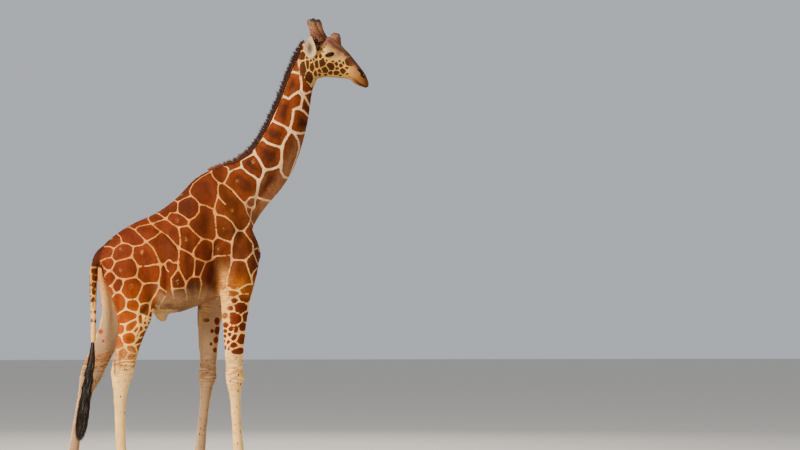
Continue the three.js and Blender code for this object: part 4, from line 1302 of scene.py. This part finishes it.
def spread(nodes, links, value, low, high, toLow=0.0, toHigh=1.0, soft=True):
    found = nodes.new("ShaderNodeMapRange")
    found.interpolation_type = "SMOOTHSTEP" if soft else "LINEAR"
    found.inputs["From Min"].default_value = low
    found.inputs["From Max"].default_value = high
    found.inputs["To Min"].default_value = toLow
    found.inputs["To Max"].default_value = toHigh
    links.new(value, found.inputs["Value"])
    return found.outputs["Result"]


def maths(nodes, links, kind, a, b):
    found = nodes.new("ShaderNodeMath")
    found.operation = kind
    for socket, value in zip(found.inputs, (a, b)):
        if isinstance(value, (int, float)):
            socket.default_value = value
        else:
            links.new(value, socket)
    return found.outputs["Value"]


def mixed(nodes, links, factor, a, b, kind="MIX"):
    found = nodes.new("ShaderNodeMix")
    found.data_type = "RGBA"
    found.blend_type = kind
    for socket, value in ((found.inputs[0], factor), (found.inputs[6], a), (found.inputs[7], b)):
        if isinstance(value, (int, float)):
            socket.default_value = value
        elif isinstance(value, (tuple, list, np.ndarray)):
            socket.default_value = (*[float(v) for v in value[:3]], 1.0)
        else:
            links.new(value, socket)
    return found.outputs[2]


def grey(nodes, links, value):
    found = nodes.new("ShaderNodeCombineColor")
    for k in range(3):
        links.new(value, found.inputs[k])
    return found.outputs["Color"]


def skinPaint():
    material, nodes, links, shader = newMaterial("giraffe_hide")
    wobble = noiseAt(nodes, links, 70, detail=3)
    edge = maths(nodes, links, "ADD", attribute(nodes, "mark").outputs["Fac"],
                 spread(nodes, links, wobble, 0.3, 0.7, -0.0022, 0.0022, False))
    inPatch = spread(nodes, links, edge, -0.0022, 0.0022)
    ground = attribute(nodes, "groundTint").outputs["Color"]
    patch = attribute(nodes, "patchTint").outputs["Color"]
    cloud = noiseAt(nodes, links, 9, (1, 1, 0.6), 5, 0.65)
    patch = mixed(nodes, links, 1.0, patch, grey(nodes, links, spread(nodes, links, cloud, 0.28, 0.72, 0.66, 1.34)),
                  "MULTIPLY")
    ragged = spread(nodes, links, noiseAt(nodes, links, 60, detail=4), 0.46, 0.60)
    heart = maths(nodes, links, "MULTIPLY", attribute(nodes, "heart").outputs["Fac"],
                  maths(nodes, links, "MULTIPLY", ragged, 0.7))
    patch = mixed(nodes, links, heart, patch, light["groundTrunk"])
    colour = mixed(nodes, links, inPatch, ground, patch)
    speck = spread(nodes, links, noiseAt(nodes, links, 48, (1, 1, 0.45), 1.5), 0.645, 0.69)
    speck = maths(nodes, links, "MULTIPLY", speck, attribute(nodes, "flecks").outputs["Fac"])
    colour = mixed(nodes, links, speck, colour, paint("#4a3020"))
    # random grey-brown mottling on the lower legs
    greyMottle = spread(nodes, links, noiseAt(nodes, links, 7, (1, 1, 0.5), 5, 0.7), 0.35, 0.7, 0.0, 0.35)
    greyMottle = maths(nodes, links, "MULTIPLY", greyMottle, attribute(nodes, "flecks").outputs["Fac"])
    colour = mixed(nodes, links, greyMottle, colour, paint("#8c6c4c"))
    # skin folds: thin grooves, bumped in and painted darker as painted shade in the creases
    wave = maths(nodes, links, "ABSOLUTE", maths(nodes, links, "SUBTRACT", noiseAt(nodes, links, 8, (0.7, 0.7, 3.6)), 0.5), 0.0)
    wave = spread(nodes, links, wave, 0.0, 0.09)
    folds = attribute(nodes, "folds").outputs["Fac"]
    groove = maths(nodes, links, "MULTIPLY", maths(nodes, links, "SUBTRACT", 1.0, wave), folds)
    colour = mixed(nodes, links, groove, colour, mixed(nodes, links, 1.0, colour, paint("#b48a6c"), "MULTIPLY"))
    hairs = noiseAt(nodes, links, 150, (1, 1, 0.22), 4, 0.65)
    colour = mixed(nodes, links, 1.0, colour, grey(nodes, links, spread(nodes, links, hairs, 0.25, 0.75, 0.84, 1.12)),
                   "MULTIPLY")
    links.new(colour, shader.inputs["Base Color"])
    links.new(spread(nodes, links, attribute(nodes, "bareSkinAndLashShade").outputs["Fac"], 0.5, 1.0, 0.78, 0.55),
              shader.inputs["Roughness"])
    shader.inputs["Specular IOR Level"].default_value = 0.12
    bump = nodes.new("ShaderNodeBump")
    bump.inputs["Strength"].default_value = 0.55
    bump.inputs["Distance"].default_value = 0.0022
    links.new(hairs, bump.inputs["Height"])
    crumple = nodes.new("ShaderNodeBump")
    crumple.inputs["Strength"].default_value = 0.8
    crumple.inputs["Distance"].default_value = 0.009
    crumple.invert = True
    links.new(groove, crumple.inputs["Height"])
    links.new(crumple.outputs["Normal"], bump.inputs["Normal"])
    links.new(bump.outputs["Normal"], shader.inputs["Normal"])
    return material


def coatPaint(name, roughness=0.72, sheen=0.0):
    material, nodes, links, shader = newMaterial(name)
    streak = noiseAt(nodes, links, 90, (1, 1, 0.4), 2)
    colour = mixed(nodes, links, 1.0, attribute(nodes, "tint").outputs["Color"],
                   grey(nodes, links, spread(nodes, links, streak, 0.25, 0.75, 0.86, 1.12)), "MULTIPLY")
    links.new(colour, shader.inputs["Base Color"])
    shader.inputs["Roughness"].default_value = roughness
    shader.inputs["Specular IOR Level"].default_value = 0.12
    shader.inputs["Sheen Weight"].default_value = sheen
    return material


hide = skinPaint()
finishPiece(skinPiece, flesh, hide)
coat = coatPaint("giraffe_coat")
print("hide painted")


# ---- sampling of the skin: where tufts stand, and which way the hair lies there

def trianglesOf(mesh):
    tris = np.empty(len(mesh.polygons) * 3, dtype=np.int64)
    mesh.loops.foreach_get("vertex_index", tris)
    return tris.reshape(-1, 3)


skinTris = trianglesOf(skinMesh)
triUv = skinUv.reshape(-1, 3, 2)
skinColour = groundTint + (patchTint - groundTint) * smoothStep(-0.0022, 0.0022, mark)[:, None]
skinColour = blend(skinColour, light["groundTrunk"], heartFleck * 0.5)
skinBvh = skinTree(skinMesh)


def hairWay(co, owner, normal):
    # the lie of the coat: back along the trunk, down the neck and the legs, up the face
    way = np.tile((-0.80, 0.0, -0.60), (len(co), 1))
    way[owner == "neck"] = (-0.45, 0, -0.90)
    way[np.char.startswith(owner, "leg")] = (-0.05, 0, -1.0)
    way[owner == "tail"] = (0, 0, -1.0)
    way[owner == "head"] = headTurn @ (-1.0, 0, -0.22)
    way[np.char.startswith(owner, "ear")] = (-0.1, 0, 1.0)
    thigh = smoothStep(2.2, 1.8, co[:, 2]) * (owner == "trunk") * (co[:, 0] < -0.6)
    way = blend(way, np.array((-0.25, 0, -0.97)), thigh)
    way -= normal * np.sum(way * normal, axis=1, keepdims=True)
    return unit(way)


def sampleSkin(density, most):
    # random places on the skin, as many per square metre as the density at each point says
    corners = skinCo[skinTris]
    area = np.linalg.norm(np.cross(corners[:, 1] - corners[:, 0], corners[:, 2] - corners[:, 0]), axis=1) / 2
    expected = area * density[skinTris].mean(axis=1)
    count = int(min(most, expected.sum()))
    face = rng.choice(len(skinTris), size=count, p=expected / expected.sum())
    u, v = rng.random(count), rng.random(count)
    flip = u + v > 1
    u[flip], v[flip] = 1 - u[flip], 1 - v[flip]
    share = np.stack([1 - u - v, u, v], axis=1)
    return face, share


def onFaces(values, face, share):
    return np.einsum("nk,nk...->n...", share, values[skinTris[face]]) if values.ndim == 1 else \
        np.einsum("nk,nkc->nc", share, values[skinTris[face]])


def bulkMesh(name, verts, tris, tints, uvs):
    mesh = bpy.data.meshes.new(name)
    mesh.vertices.add(len(verts))
    mesh.vertices.foreach_set("co", np.asarray(verts, dtype=np.float32).ravel())
    mesh.loops.add(len(tris) * 3)
    mesh.loops.foreach_set("vertex_index", np.asarray(tris, dtype=np.int32).ravel())
    mesh.polygons.add(len(tris))
    mesh.polygons.foreach_set("loop_start", np.arange(0, len(tris) * 3, 3, dtype=np.int32))
    mesh.polygons.foreach_set("use_smooth", np.ones(len(tris), dtype=bool))
    mesh.update(calc_edges=True)
    addValues(mesh, "tint", tints, "FLOAT_COLOR")
    layer = mesh.uv_layers.new(name="OFBake")
    layer.data.foreach_set("uv", np.asarray(uvs[np.asarray(tris).ravel()], dtype=np.float32).ravel())
    piece = bpy.data.objects.new(name, mesh)
    bpy.context.collection.objects.link(piece)
    return piece


def sliverMesh(name, spine, across, out, width, thick, colours, rootUv):
    # spine: (tufts, stations, 3); each tuft is a closed three-sided sliver that ends in a point
    count, stations = spine.shape[:2]
    rings = stations - 1
    corner = np.array(((-0.5, -0.35), (0.5, -0.35), (0.0, 0.65)))
    taper = np.linspace(1.0, 0.45, rings)[None, :, None, None]
    ring = (spine[:, :-1, None, :]
            + taper * across[:, None, None, :] * corner[None, None, :, :1] * width[:, None, None, None]
            + taper * out[:, None, None, :] * corner[None, None, :, 1:] * thick[:, None, None, None])
    verts = np.concatenate([ring.reshape(count, rings * 3, 3), spine[:, -1:, :]], axis=1)
    tris = [(0, 2, 1)]
    for r in range(rings - 1):
        for k in range(3):
            a, b = r * 3 + k, r * 3 + (k + 1) % 3
            tris += [(a, b, b + 3), (a, b + 3, a + 3)]
    last = (rings - 1) * 3
    tris += [(last + k, last + (k + 1) % 3, last + 3) for k in range(3)]
    tris = np.array(tris)
    perTuft = rings * 3 + 1
    allTris = (tris[None] + (np.arange(count) * perTuft)[:, None, None]).reshape(-1, 3)
    station = np.concatenate([np.repeat(np.arange(rings), 3), [rings]])
    tints = colours[:, station].reshape(-1, 3)
    local = np.stack([np.concatenate([np.tile(corner[:, 0], rings), [0]]), station / rings - 0.5], axis=1) * 0.003
    uvs = (rootUv[:, None, :] + local[None]).reshape(-1, 2)
    return bulkMesh(name, verts.reshape(-1, 3), allTris, tints, np.clip(uvs, 0.0005, 0.9995))


def growTufts(name, density, length, width, lift, most=19000, replaced=("trunk",), brighten=0.06):
    face, share = sampleSkin(density, most)
    root = onFaces(skinCo, face, share)
    normal = unit(onFaces(skinNormal, face, share))
    owner = skinOwner[skinTris[face, 0]]
    way = hairWay(root, owner, normal)
    side = np.cross(normal, way)
    turn = rng.normal(0, 0.22, len(root))[:, None]
    way = unit(way + side * turn)
    side = unit(np.cross(normal, way))
    size = rng.uniform(0.7, 1.25, len(root))
    longness = onFaces(length, face, share) * size
    wide = onFaces(width, face, share) * size
    rise = onFaces(lift, face, share)
    t = np.array((0.0, 0.5, 1.0))
    along = (longness[:, None] * t)[..., None]
    spine = root[:, None, :] + way[:, None, :] * along + normal[:, None, :] * along * (rise[:, None] * (1.15 - 0.5 * t))[..., None]
    spine -= normal[:, None, :] * 0.0012 * (1 - t)[None, :, None]
    colours = np.empty((len(root), 3, 3))
    colours[:, 0] = onFaces(skinColour, face, share)
    for k in (1, 2):
        for n, p in enumerate(spine[:, k]):
            hit, _, index, _ = skinBvh.find_nearest(Vector(p))
            colours[n, k] = skinColour[skinTris[index]].mean(axis=0)
    colours *= (1 + rng.normal(0, brighten, (len(root), 1, 1)))
    uv = np.einsum("nk,nkc->nc", share, triUv[face])
    piece = sliverMesh(name, spine, side, normal, wide, wide * 0.4, np.clip(colours, 0.001, 1), uv)
    finishPiece(piece, replaced, coat)
    return piece


# ---- the coat, region by region

def coatPlan():
    x, z, n = shiftedX(skinCo), skinCo[:, 2], skinNormal
    facing = np.clip(1 - bareSkinAndLashShade * 1.6, 0, 1)
    spine = smoothStep(0.06, 0.0, np.abs(skinCo[:, 1])) * (n[:, 2] > 0.3)
    under = smoothStep(-0.4, -0.8, n[:, 2])
    chest = smoothStep(0.5, 0.8, n[:, 0]) * (skinOwner != "head")
    back = smoothStep(-0.5, -0.85, n[:, 0])
    edgeCare = 1 - 0.45 * smoothStep(0.016, 0.006, np.abs(mark))
    general = (2600 + 2600 * spine + 2200 * under + 1800 * chest + 1500 * back) * edgeCare * facing
    length = 0.013 + 0.008 * spine + 0.006 * under + 0.004 * chest + 0.005 * back
    width = np.full(len(x), 0.0058)
    lift = 0.16 + 0.10 * under + 0.08 * spine + 0.06 * back
    onHead = np.isin(skinOwner, ("head", "ear_right", "ear_left"))
    hornBase = sum(headSpot(*at, 0.03) for at in ((0.135, 0.055, 0.15), (0.32, 0.0, 0.13)))
    general = np.where(onHead, 26000 * facing * (1 + hornBase), general)
    length = np.where(onHead, 0.0075 + 0.004 * hornBase, length)
    width = np.where(onHead, 0.0030, width)
    lift = np.where(onHead, 0.12, lift)
    fetlock = np.exp(-((z - 0.25) / 0.09) ** 2) * smoothStep(0.2, 0.7, -n[:, 0]) * onLeg
    crown = smoothStep(0.21, 0.16, z)
    general = np.where(onLeg, (5200 + 9000 * fetlock + 9000 * crown) * edgeCare, general)
    length = np.where(onLeg, 0.010 + 0.012 * fetlock + 0.012 * crown, length)
    width = np.where(onLeg, 0.0045, width)
    lift = np.where(onLeg, 0.13 + 0.15 * fetlock, lift)
    general = np.where(onTail, 9000, general)
    length = np.where(onTail, 0.016, length)
    return general, length, width, lift


density, tuftLength, tuftWidth, tuftLift = coatPlan()
regions = [
    ("coatHead", np.isin(skinOwner, ("head", "ear_right", "ear_left")), ("head", "ear_right", "ear_left"), 19000),
    ("coatNeck", skinOwner == "neck", ("neck",), 17000),
    ("coatTrunk", skinOwner == "trunk", ("trunk",), 19000),
    ("coatForeLegs", np.char.startswith(skinOwner, "leg_fore"), ("leg_fore_right", "leg_fore_left"), 15000),
    ("coatHindLegs", np.char.startswith(skinOwner, "leg_hind"), ("leg_hind_right", "leg_hind_left"), 15000),
    ("coatTail", skinOwner == "tail", ("tail",), 3000),
]
for pieceName, inRegion, nodes, most in regions:
    piece = growTufts(pieceName, density * inRegion, tuftLength, tuftWidth, tuftLift, most, nodes)
    print(pieceName, len(piece.data.polygons), "faces")


# ---- eyes: one ball each, painted around its own axis

def makeEye(name, node, side):
    centre, axis, ahead, up = eyeFrame(side)
    bpy.ops.object.select_all(action="DESELECT")
    bpy.ops.mesh.primitive_uv_sphere_add(segments=48, ring_count=32, radius=eyeSet["radius"])
    piece = bpy.context.object
    piece.name = name
    local = coordsOf(piece.data)
    side2 = np.cross(up, axis)
    bulge = 1 + 0.055 * smoothStep(0.80, 0.97, local[:, 2] / eyeSet["radius"])
    local *= bulge[:, None]
    world = centre + local[:, :1] * side2 + local[:, 1:2] * up + local[:, 2:] * axis
    setCoords(piece.data, fromHead(world))
    bpy.ops.object.shade_smooth()
    flat = local / np.linalg.norm(local, axis=1, keepdims=True)
    out = np.hypot(flat[:, 0], flat[:, 1])
    angle = np.arctan2(flat[:, 1], flat[:, 0])
    iris = paint("#24130b") * (1 + 0.25 * np.sin(angle * 17))[:, None]
    colour = blend(paint("#1c110c") * np.ones((len(out), 1)), iris, smoothStep(0.66, 0.60, out) * (flat[:, 2] > 0))
    colour = blend(colour, paint("#140c08"), np.exp(-((out - 0.64) / 0.05) ** 2) * (flat[:, 2] > 0))
    pupil = smoothStep(1.15, 0.9, np.hypot(flat[:, 0] / 0.34, flat[:, 1] / 0.20)) * (flat[:, 2] > 0)
    colour = blend(colour, paint("#050404"), pupil)
    addValues(piece.data, "tint", colour, "FLOAT_COLOR")
    piece.data.uv_layers[0].name = "OFBake"
    finishPiece(piece, [node], eyePaint)
    return piece


def glossPaint():
    material, nodes, links, shader = newMaterial("eye_gloss")
    vein = noiseAt(nodes, links, 240, detail=2)
    colour = mixed(nodes, links, 1.0, attribute(nodes, "tint").outputs["Color"],
                   grey(nodes, links, spread(nodes, links, vein, 0.3, 0.7, 0.85, 1.1)), "MULTIPLY")
    links.new(colour, shader.inputs["Base Color"])
    shader.inputs["Roughness"].default_value = 0.18
    shader.inputs["Specular IOR Level"].default_value = 0.3
    shader.inputs["Coat Weight"].default_value = 0.1
    shader.inputs["Coat Roughness"].default_value = 0.04
    return material


eyePaint = glossPaint()
makeEye("eyeRight", "eye_right", -1)
makeEye("eyeLeft", "eye_left", 1)


# ---- horns: furred stems with bare dark tops

hornSet = dict(voxel=0.0028, swell=0.001, tuftCount=2600)


def hornPaint():
    material, nodes, links, shader = newMaterial("horn_skin")
    grain = noiseAt(nodes, links, 130, (1, 1, 0.35), 4, 0.65)
    colour = mixed(nodes, links, 1.0, attribute(nodes, "tint").outputs["Color"],
                   grey(nodes, links, spread(nodes, links, grain, 0.25, 0.75, 0.78, 1.15)), "MULTIPLY")
    links.new(colour, shader.inputs["Base Color"])
    links.new(spread(nodes, links, attribute(nodes, "bald").outputs["Fac"], 0.2, 0.9, 0.8, 0.42),
              shader.inputs["Roughness"])
    bump = nodes.new("ShaderNodeBump")
    bump.inputs["Strength"].default_value = 0.5
    bump.inputs["Distance"].default_value = 0.0015
    links.new(grain, bump.inputs["Height"])
    links.new(bump.outputs["Normal"], shader.inputs["Normal"])
    return material


hornSkin = hornPaint()
hornTuft = coatPaint("horn_fringe")


def makeHorn(name, node):
    piece = copyOf([node], name, hornSet["swell"])
    applyModifier(piece, "REMESH", mode="VOXEL", voxel_size=hornSet["voxel"])
    co = relax(coordsOf(piece.data), edgesOf(piece.data), np.full(len(piece.data.vertices), 6))
    setCoords(piece.data, co)
    local = toHead(co)
    height = (local[:, 2] - local[:, 2].min()) / np.ptp(local[:, 2])
    bald = smoothStep(0.80, 0.90, height) if node != "horn_middle" else smoothStep(0.55, 0.9, height) * 0.5
    colour = blend(paint("#714329", 1.1) * np.ones((len(co), 1)), paint("#a4714c"), smoothStep(0.35, 0.75, height) * 0.7)
    blot = np.array([noise.noise(Vector(p) * 62) for p in co])
    foot = smoothStep(0.42, 0.28, height) * (node != "horn_middle")
    colour = blend(colour, paint("#34160e"), smoothStep(0.04, 0.12, blot) * foot)
    colour = blend(colour, paint("#33251e"), bald)
    normal = normalsOf(piece.data)
    rough = np.array([noise.noise(Vector(p) * 60) for p in co])
    setCoords(piece.data, co + normal * (rough * 0.0016 * (0.4 + bald))[:, None])
    addValues(piece.data, "tint", colour, "FLOAT_COLOR")
    addValues(piece.data, "bald", bald)
    for p in piece.data.polygons:
        p.use_smooth = True
    pick(piece)
    bpy.ops.object.mode_set(mode="EDIT")
    bpy.ops.mesh.select_all(action="SELECT")
    bpy.ops.uv.smart_project(angle_limit=math.radians(66), island_margin=0.01)
    bpy.ops.object.mode_set(mode="OBJECT")
    piece.data.uv_layers[0].name = "OFBake"
    finishPiece(piece, [node], hornSkin)
    # short hair up the stem, longer around the bare top
    count = hornSet["tuftCount"] if node != "horn_middle" else 1100
    picked = rng.choice(len(co), count, p=(1.02 - bald) / (1.02 - bald).sum())
    root = co[picked] + rng.normal(0, 0.0012, (count, 3))
    n = normal[picked]
    stem = headTurn @ (-0.25, 0, 1.0)
    way = unit(stem - n * (n @ stem)[:, None] + rng.normal(0, 0.18, (count, 3)))
    fringe = np.exp(-((height[picked] - 0.78) / 0.07) ** 2)
    longness = (0.008 + 0.004 * fringe) * rng.uniform(0.7, 1.3, count)
    t = np.array((0.0, 0.5, 1.0))
    along = (longness[:, None] * t)[..., None]
    spine = root[:, None] + way[:, None] * along + n[:, None] * along * (0.25 + 0.35 * fringe)[:, None, None]
    shade = colour[picked] * (1 - 0.3 * fringe)[:, None] * rng.normal(1, 0.1, (count, 1))
    wide = np.full(count, 0.0032)
    uv = rng.random((count, 2)) * 0.9 + 0.05
    hair = sliverMesh(name + "Hair", spine, unit(np.cross(n, way)), n, wide, wide * 0.45,
                      np.clip(np.repeat(shade[:, None], 3, axis=1), 0.001, 1), uv)
    finishPiece(hair, [node], hornTuft)


for name, node in (("hornRight", "horn_right"), ("hornLeft", "horn_left"), ("hornMiddle", "horn_middle")):
    makeHorn(name, node)
print("eyes and horns made")


# ---- hooves

hoofSet = dict(voxel=0.0042, rings=0.0011, ringGap=0.011)


def hoofPaint():
    material, nodes, links, shader = newMaterial("hoof_horn")
    grain = noiseAt(nodes, links, 60, (1, 1, 0.3), 4, 0.6)
    bands = noiseAt(nodes, links, 14, (0.3, 0.3, 5.0), 2)
    both = maths(nodes, links, "ADD", maths(nodes, links, "MULTIPLY", grain, 0.75), maths(nodes, links, "MULTIPLY", bands, 0.25))
    colour = mixed(nodes, links, spread(nodes, links, both, 0.35, 0.68), paint("#2c211b"), paint("#54443a"))
    links.new(colour, shader.inputs["Base Color"])
    shader.inputs["Roughness"].default_value = 0.46
    bump = nodes.new("ShaderNodeBump")
    bump.inputs["Strength"].default_value = 0.2
    bump.inputs["Distance"].default_value = 0.0015
    links.new(both, bump.inputs["Height"])
    links.new(bump.outputs["Normal"], shader.inputs["Normal"])
    return material


hoofHorn = hoofPaint()


def makeHoof(node):
    piece = copyOf([node], node.replace("hoof_", "toe_"), 0.0)
    applyModifier(piece, "REMESH", mode="VOXEL", voxel_size=hoofSet["voxel"])
    co = coordsOf(piece.data)
    sole = co[:, 2] < 0.006
    turns = np.where(sole, 0, 4)
    co = relax(co, edgesOf(piece.data), turns)
    normal = normalsOf(piece.data)
    wall = smoothStep(0.012, 0.03, co[:, 2]) * (np.abs(normal[:, 2]) < 0.8)
    co += normal * (hoofSet["rings"] * wall * np.sin(co[:, 2] / hoofSet["ringGap"] * 2 * math.pi))[:, None]
    co[:, 2] = np.maximum(co[:, 2], 0)
    co[sole & (co[:, 2] < 0.0045), 2] = 0.0
    setCoords(piece.data, co)
    for p in piece.data.polygons:
        p.use_smooth = True
    pick(piece)
    bpy.ops.object.mode_set(mode="EDIT")
    bpy.ops.mesh.select_all(action="SELECT")
    bpy.ops.uv.smart_project(angle_limit=math.radians(66), island_margin=0.01)
    bpy.ops.object.mode_set(mode="OBJECT")
    piece.data.uv_layers[0].name = "OFBake"
    finishPiece(piece, [node], hoofHorn)


for node in [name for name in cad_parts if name.startswith("hoof")]:
    makeHoof(node)
print("hooves made")


# ---- long hair: mane, tail switch and lashes

hairPaint = coatPaint("long_hair", 0.6, 0.1)


def maneLocks():
    low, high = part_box("mane")
    start, end = np.array((low[0], low[2] + 0.02)), np.array((high[0], high[2]))
    end = end + (end - start) * 0.045
    run = (end - start) / np.linalg.norm(end - start)
    inward = np.array((run[1], -run[0]))
    count = 5200
    t = (np.arange(count) + rng.random(count)) / count
    y = rng.normal(0, 0.0075, count)
    root, normal, keep = np.zeros((count, 3)), np.zeros((count, 3)), np.zeros(count, dtype=bool)
    for k in range(count):
        at = start + (end - start) * t[k] - inward * 0.4
        hit, n, index, far = skinBvh.ray_cast(Vector((at[0], y[k], at[1])), Vector((inward[0], 0, inward[1])))
        if hit is not None:
            root[k], normal[k], keep[k] = hit, n, True
    root, normal, t, y = root[keep], normal[keep], t[keep], y[keep]
    count = len(root)
    height = np.interp(t, (0, 0.06, 0.2, 0.6, 0.93, 1.0), (0.034, 0.052, 0.064, 0.074, 0.070, 0.040))
    clump = np.array([noise.noise(Vector((v * 130, 0, 0))) for v in t])
    height = height * (1 - 0.25 * np.abs(y) / 0.02) * rng.normal(0.92, 0.07, count) * (1 + 0.45 * clump)
    lean = np.array([noise.noise(Vector((v * 95, 7, 0))) for v in t])
    upright = unit(np.stack([-inward[0] * np.ones(count), y * 4, -inward[1] * np.ones(count)], axis=1)
                   + np.array((run[0], 0, run[1])) * (0.10 + 0.7 * lean)[:, None] + rng.normal(0, 0.07, (count, 3)))
    stations = np.array((0.0, 0.35, 0.7, 1.0))
    spine = root[:, None] + upright[:, None] * (height[:, None] * stations)[..., None]
    spine += (rng.normal(0, 0.005, (count, 1, 3)) * (stations ** 2)[None, :, None])
    spine -= upright[:, None] * 0.004 * (1 - stations)[None, :, None]
    base, tip = paint("#6a3826"), paint("#2c1714")
    fade = smoothStep(0.15, 0.75, stations)[None, :, None]
    shade = (base + (tip - base) * fade) * rng.normal(1, 0.16, (count, 1, 1))
    fair = np.interp(t, (0, 0.12, 0.3, 1), (0.55, 0.2, 0.0, 0.0))[:, None, None]
    shade = shade + (paint("#a8603a") - shade) * fair
    wide = rng.uniform(0.0032, 0.0055, count)
    side = np.tile((run[0], 0.0, run[1]), (count, 1))
    uv = np.stack([t * 0.94 + 0.03, 0.5 + y * 15], axis=1)
    piece = sliverMesh("maneLocks", spine, side, np.tile((0.0, 1.0, 0.0), (count, 1)), wide, wide * 0.6,
                       np.clip(shade, 0.001, 1), np.clip(uv, 0.01, 0.99))
    finishPiece(piece, ["mane"], hairPaint)
    print("mane", len(piece.data.polygons), "faces")


def switchLocks():
    # the tail's switch: long wavy locks that leave the stalk along its last stretch
    low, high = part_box("tail_tuft")
    co = coordsOf(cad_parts["tail_tuft"].data)
    levels = np.linspace(low[2] + 0.02, high[2], 26)
    centre, reach = [], []
    for level in levels:
        weight = np.exp(-((co[:, 2] - level) / 0.055) ** 2)
        middle = (co[:, :2] * weight[:, None]).sum(axis=0) / weight.sum()
        centre.append(middle)
        reach.append(1.3 * np.sqrt(((co[:, :2] - middle) ** 2 * weight[:, None]).sum(axis=0) / weight.sum()))
    centre, reach = np.array(centre), np.array(reach)
    count, steps = 1500, 12
    stations = np.linspace(0, 1, steps)
    start = high[2] + 0.02 - 0.30 * rng.random(count) ** 1.5
    fall = np.clip(start - low[2] - np.abs(rng.normal(0, 0.14, count)), 0.18, None)
    angle = rng.uniform(0, 2 * math.pi, count)
    radius = np.sqrt(rng.random(count))
    spread2 = np.linspace(0.25, 1, steps) ** 0.7
    spine = np.empty((count, steps, 3))
    phase, waves = rng.uniform(0, 6.28, (2, count)), rng.uniform(2.2, 3.6, count)
    for k, s in enumerate(stations):
        z = start - fall * s
        cx, cy = np.interp(z, levels, centre[:, 0]), np.interp(z, levels, centre[:, 1])
        rx, ry = np.interp(z, levels, reach[:, 0]), np.interp(z, levels, reach[:, 1])
        gather = 0.9 * radius * spread2[k]
        wave = 0.010 * s * np.sin(phase[0] + waves * 2 * math.pi * s)
        spine[:, k, 0] = cx + rx * gather * np.cos(angle) + wave
        spine[:, k, 1] = cy + ry * gather * np.sin(angle) + 0.010 * s * np.sin(phase[1] + waves * 6 * s)
        spine[:, k, 2] = z
    shade = np.tile(paint("#1d1714"), (count, steps, 1))
    pale = (rng.random(count) < 0.14)[:, None, None]
    shade = np.where(pale, paint("#6f5a48"), shade)
    shade = shade * rng.normal(1, 0.2, (count, 1, 1))
    out = unit(np.stack([np.cos(angle), np.sin(angle), np.zeros(count)], axis=1))
    side = np.cross(out, (0, 0, 1.0))
    wide = rng.uniform(0.0035, 0.0065, count)
    uv = np.stack([angle / 6.3 * 0.94 + 0.03, 0.05 + 0.9 * radius], axis=1)
    piece = sliverMesh("tailSwitch", spine, side, out, wide, wide * 0.6, np.clip(shade, 0.001, 1), uv)
    finishPiece(piece, ["tail_tuft"], hairPaint)
    print("switch", len(piece.data.polygons), "faces")


def makeLashes():
    spines, sides, outs = [], [], []
    for side in (-1, 1):
        centre, axis, ahead, up = eyeFrame(side)
        for row in range(3):
            for a in np.linspace(12, 168, 46):
                a = math.radians(a + rng.normal(0, 1.5))
                root = rimPoint(side, a, lift=0.001 + 0.0008 * row)
                long = (0.026 + 0.012 * math.sin(a)) * rng.uniform(0.8, 1.15)
                way = unit(axis * 1.0 - up * 0.35 + ahead * 0.5 * math.cos(a) + rng.normal(0, 0.05, 3))
                s = np.linspace(0, 1, 4)[:, None]
                line = root + way * long * s - up * long * 0.35 * s ** 2 + axis * 0.0
                spines.append(fromHead(line))
                sides.append(headTurn @ ahead)
                outs.append(headTurn @ up)
    spine, side, out = np.array(spines), np.array(sides), np.array(outs)
    count = len(spine)
    shade = np.tile(paint("#15100e"), (count, 4, 1))
    wide = np.full(count, 0.0016)
    piece = sliverMesh("eyelashes", spine, side, out, wide, wide * 0.7, shade, rng.random((count, 2)) * 0.9 + 0.05)
    finishPiece(piece, ["head"], hairPaint)


maneLocks()
switchLocks()
makeLashes()
print("long hair made")
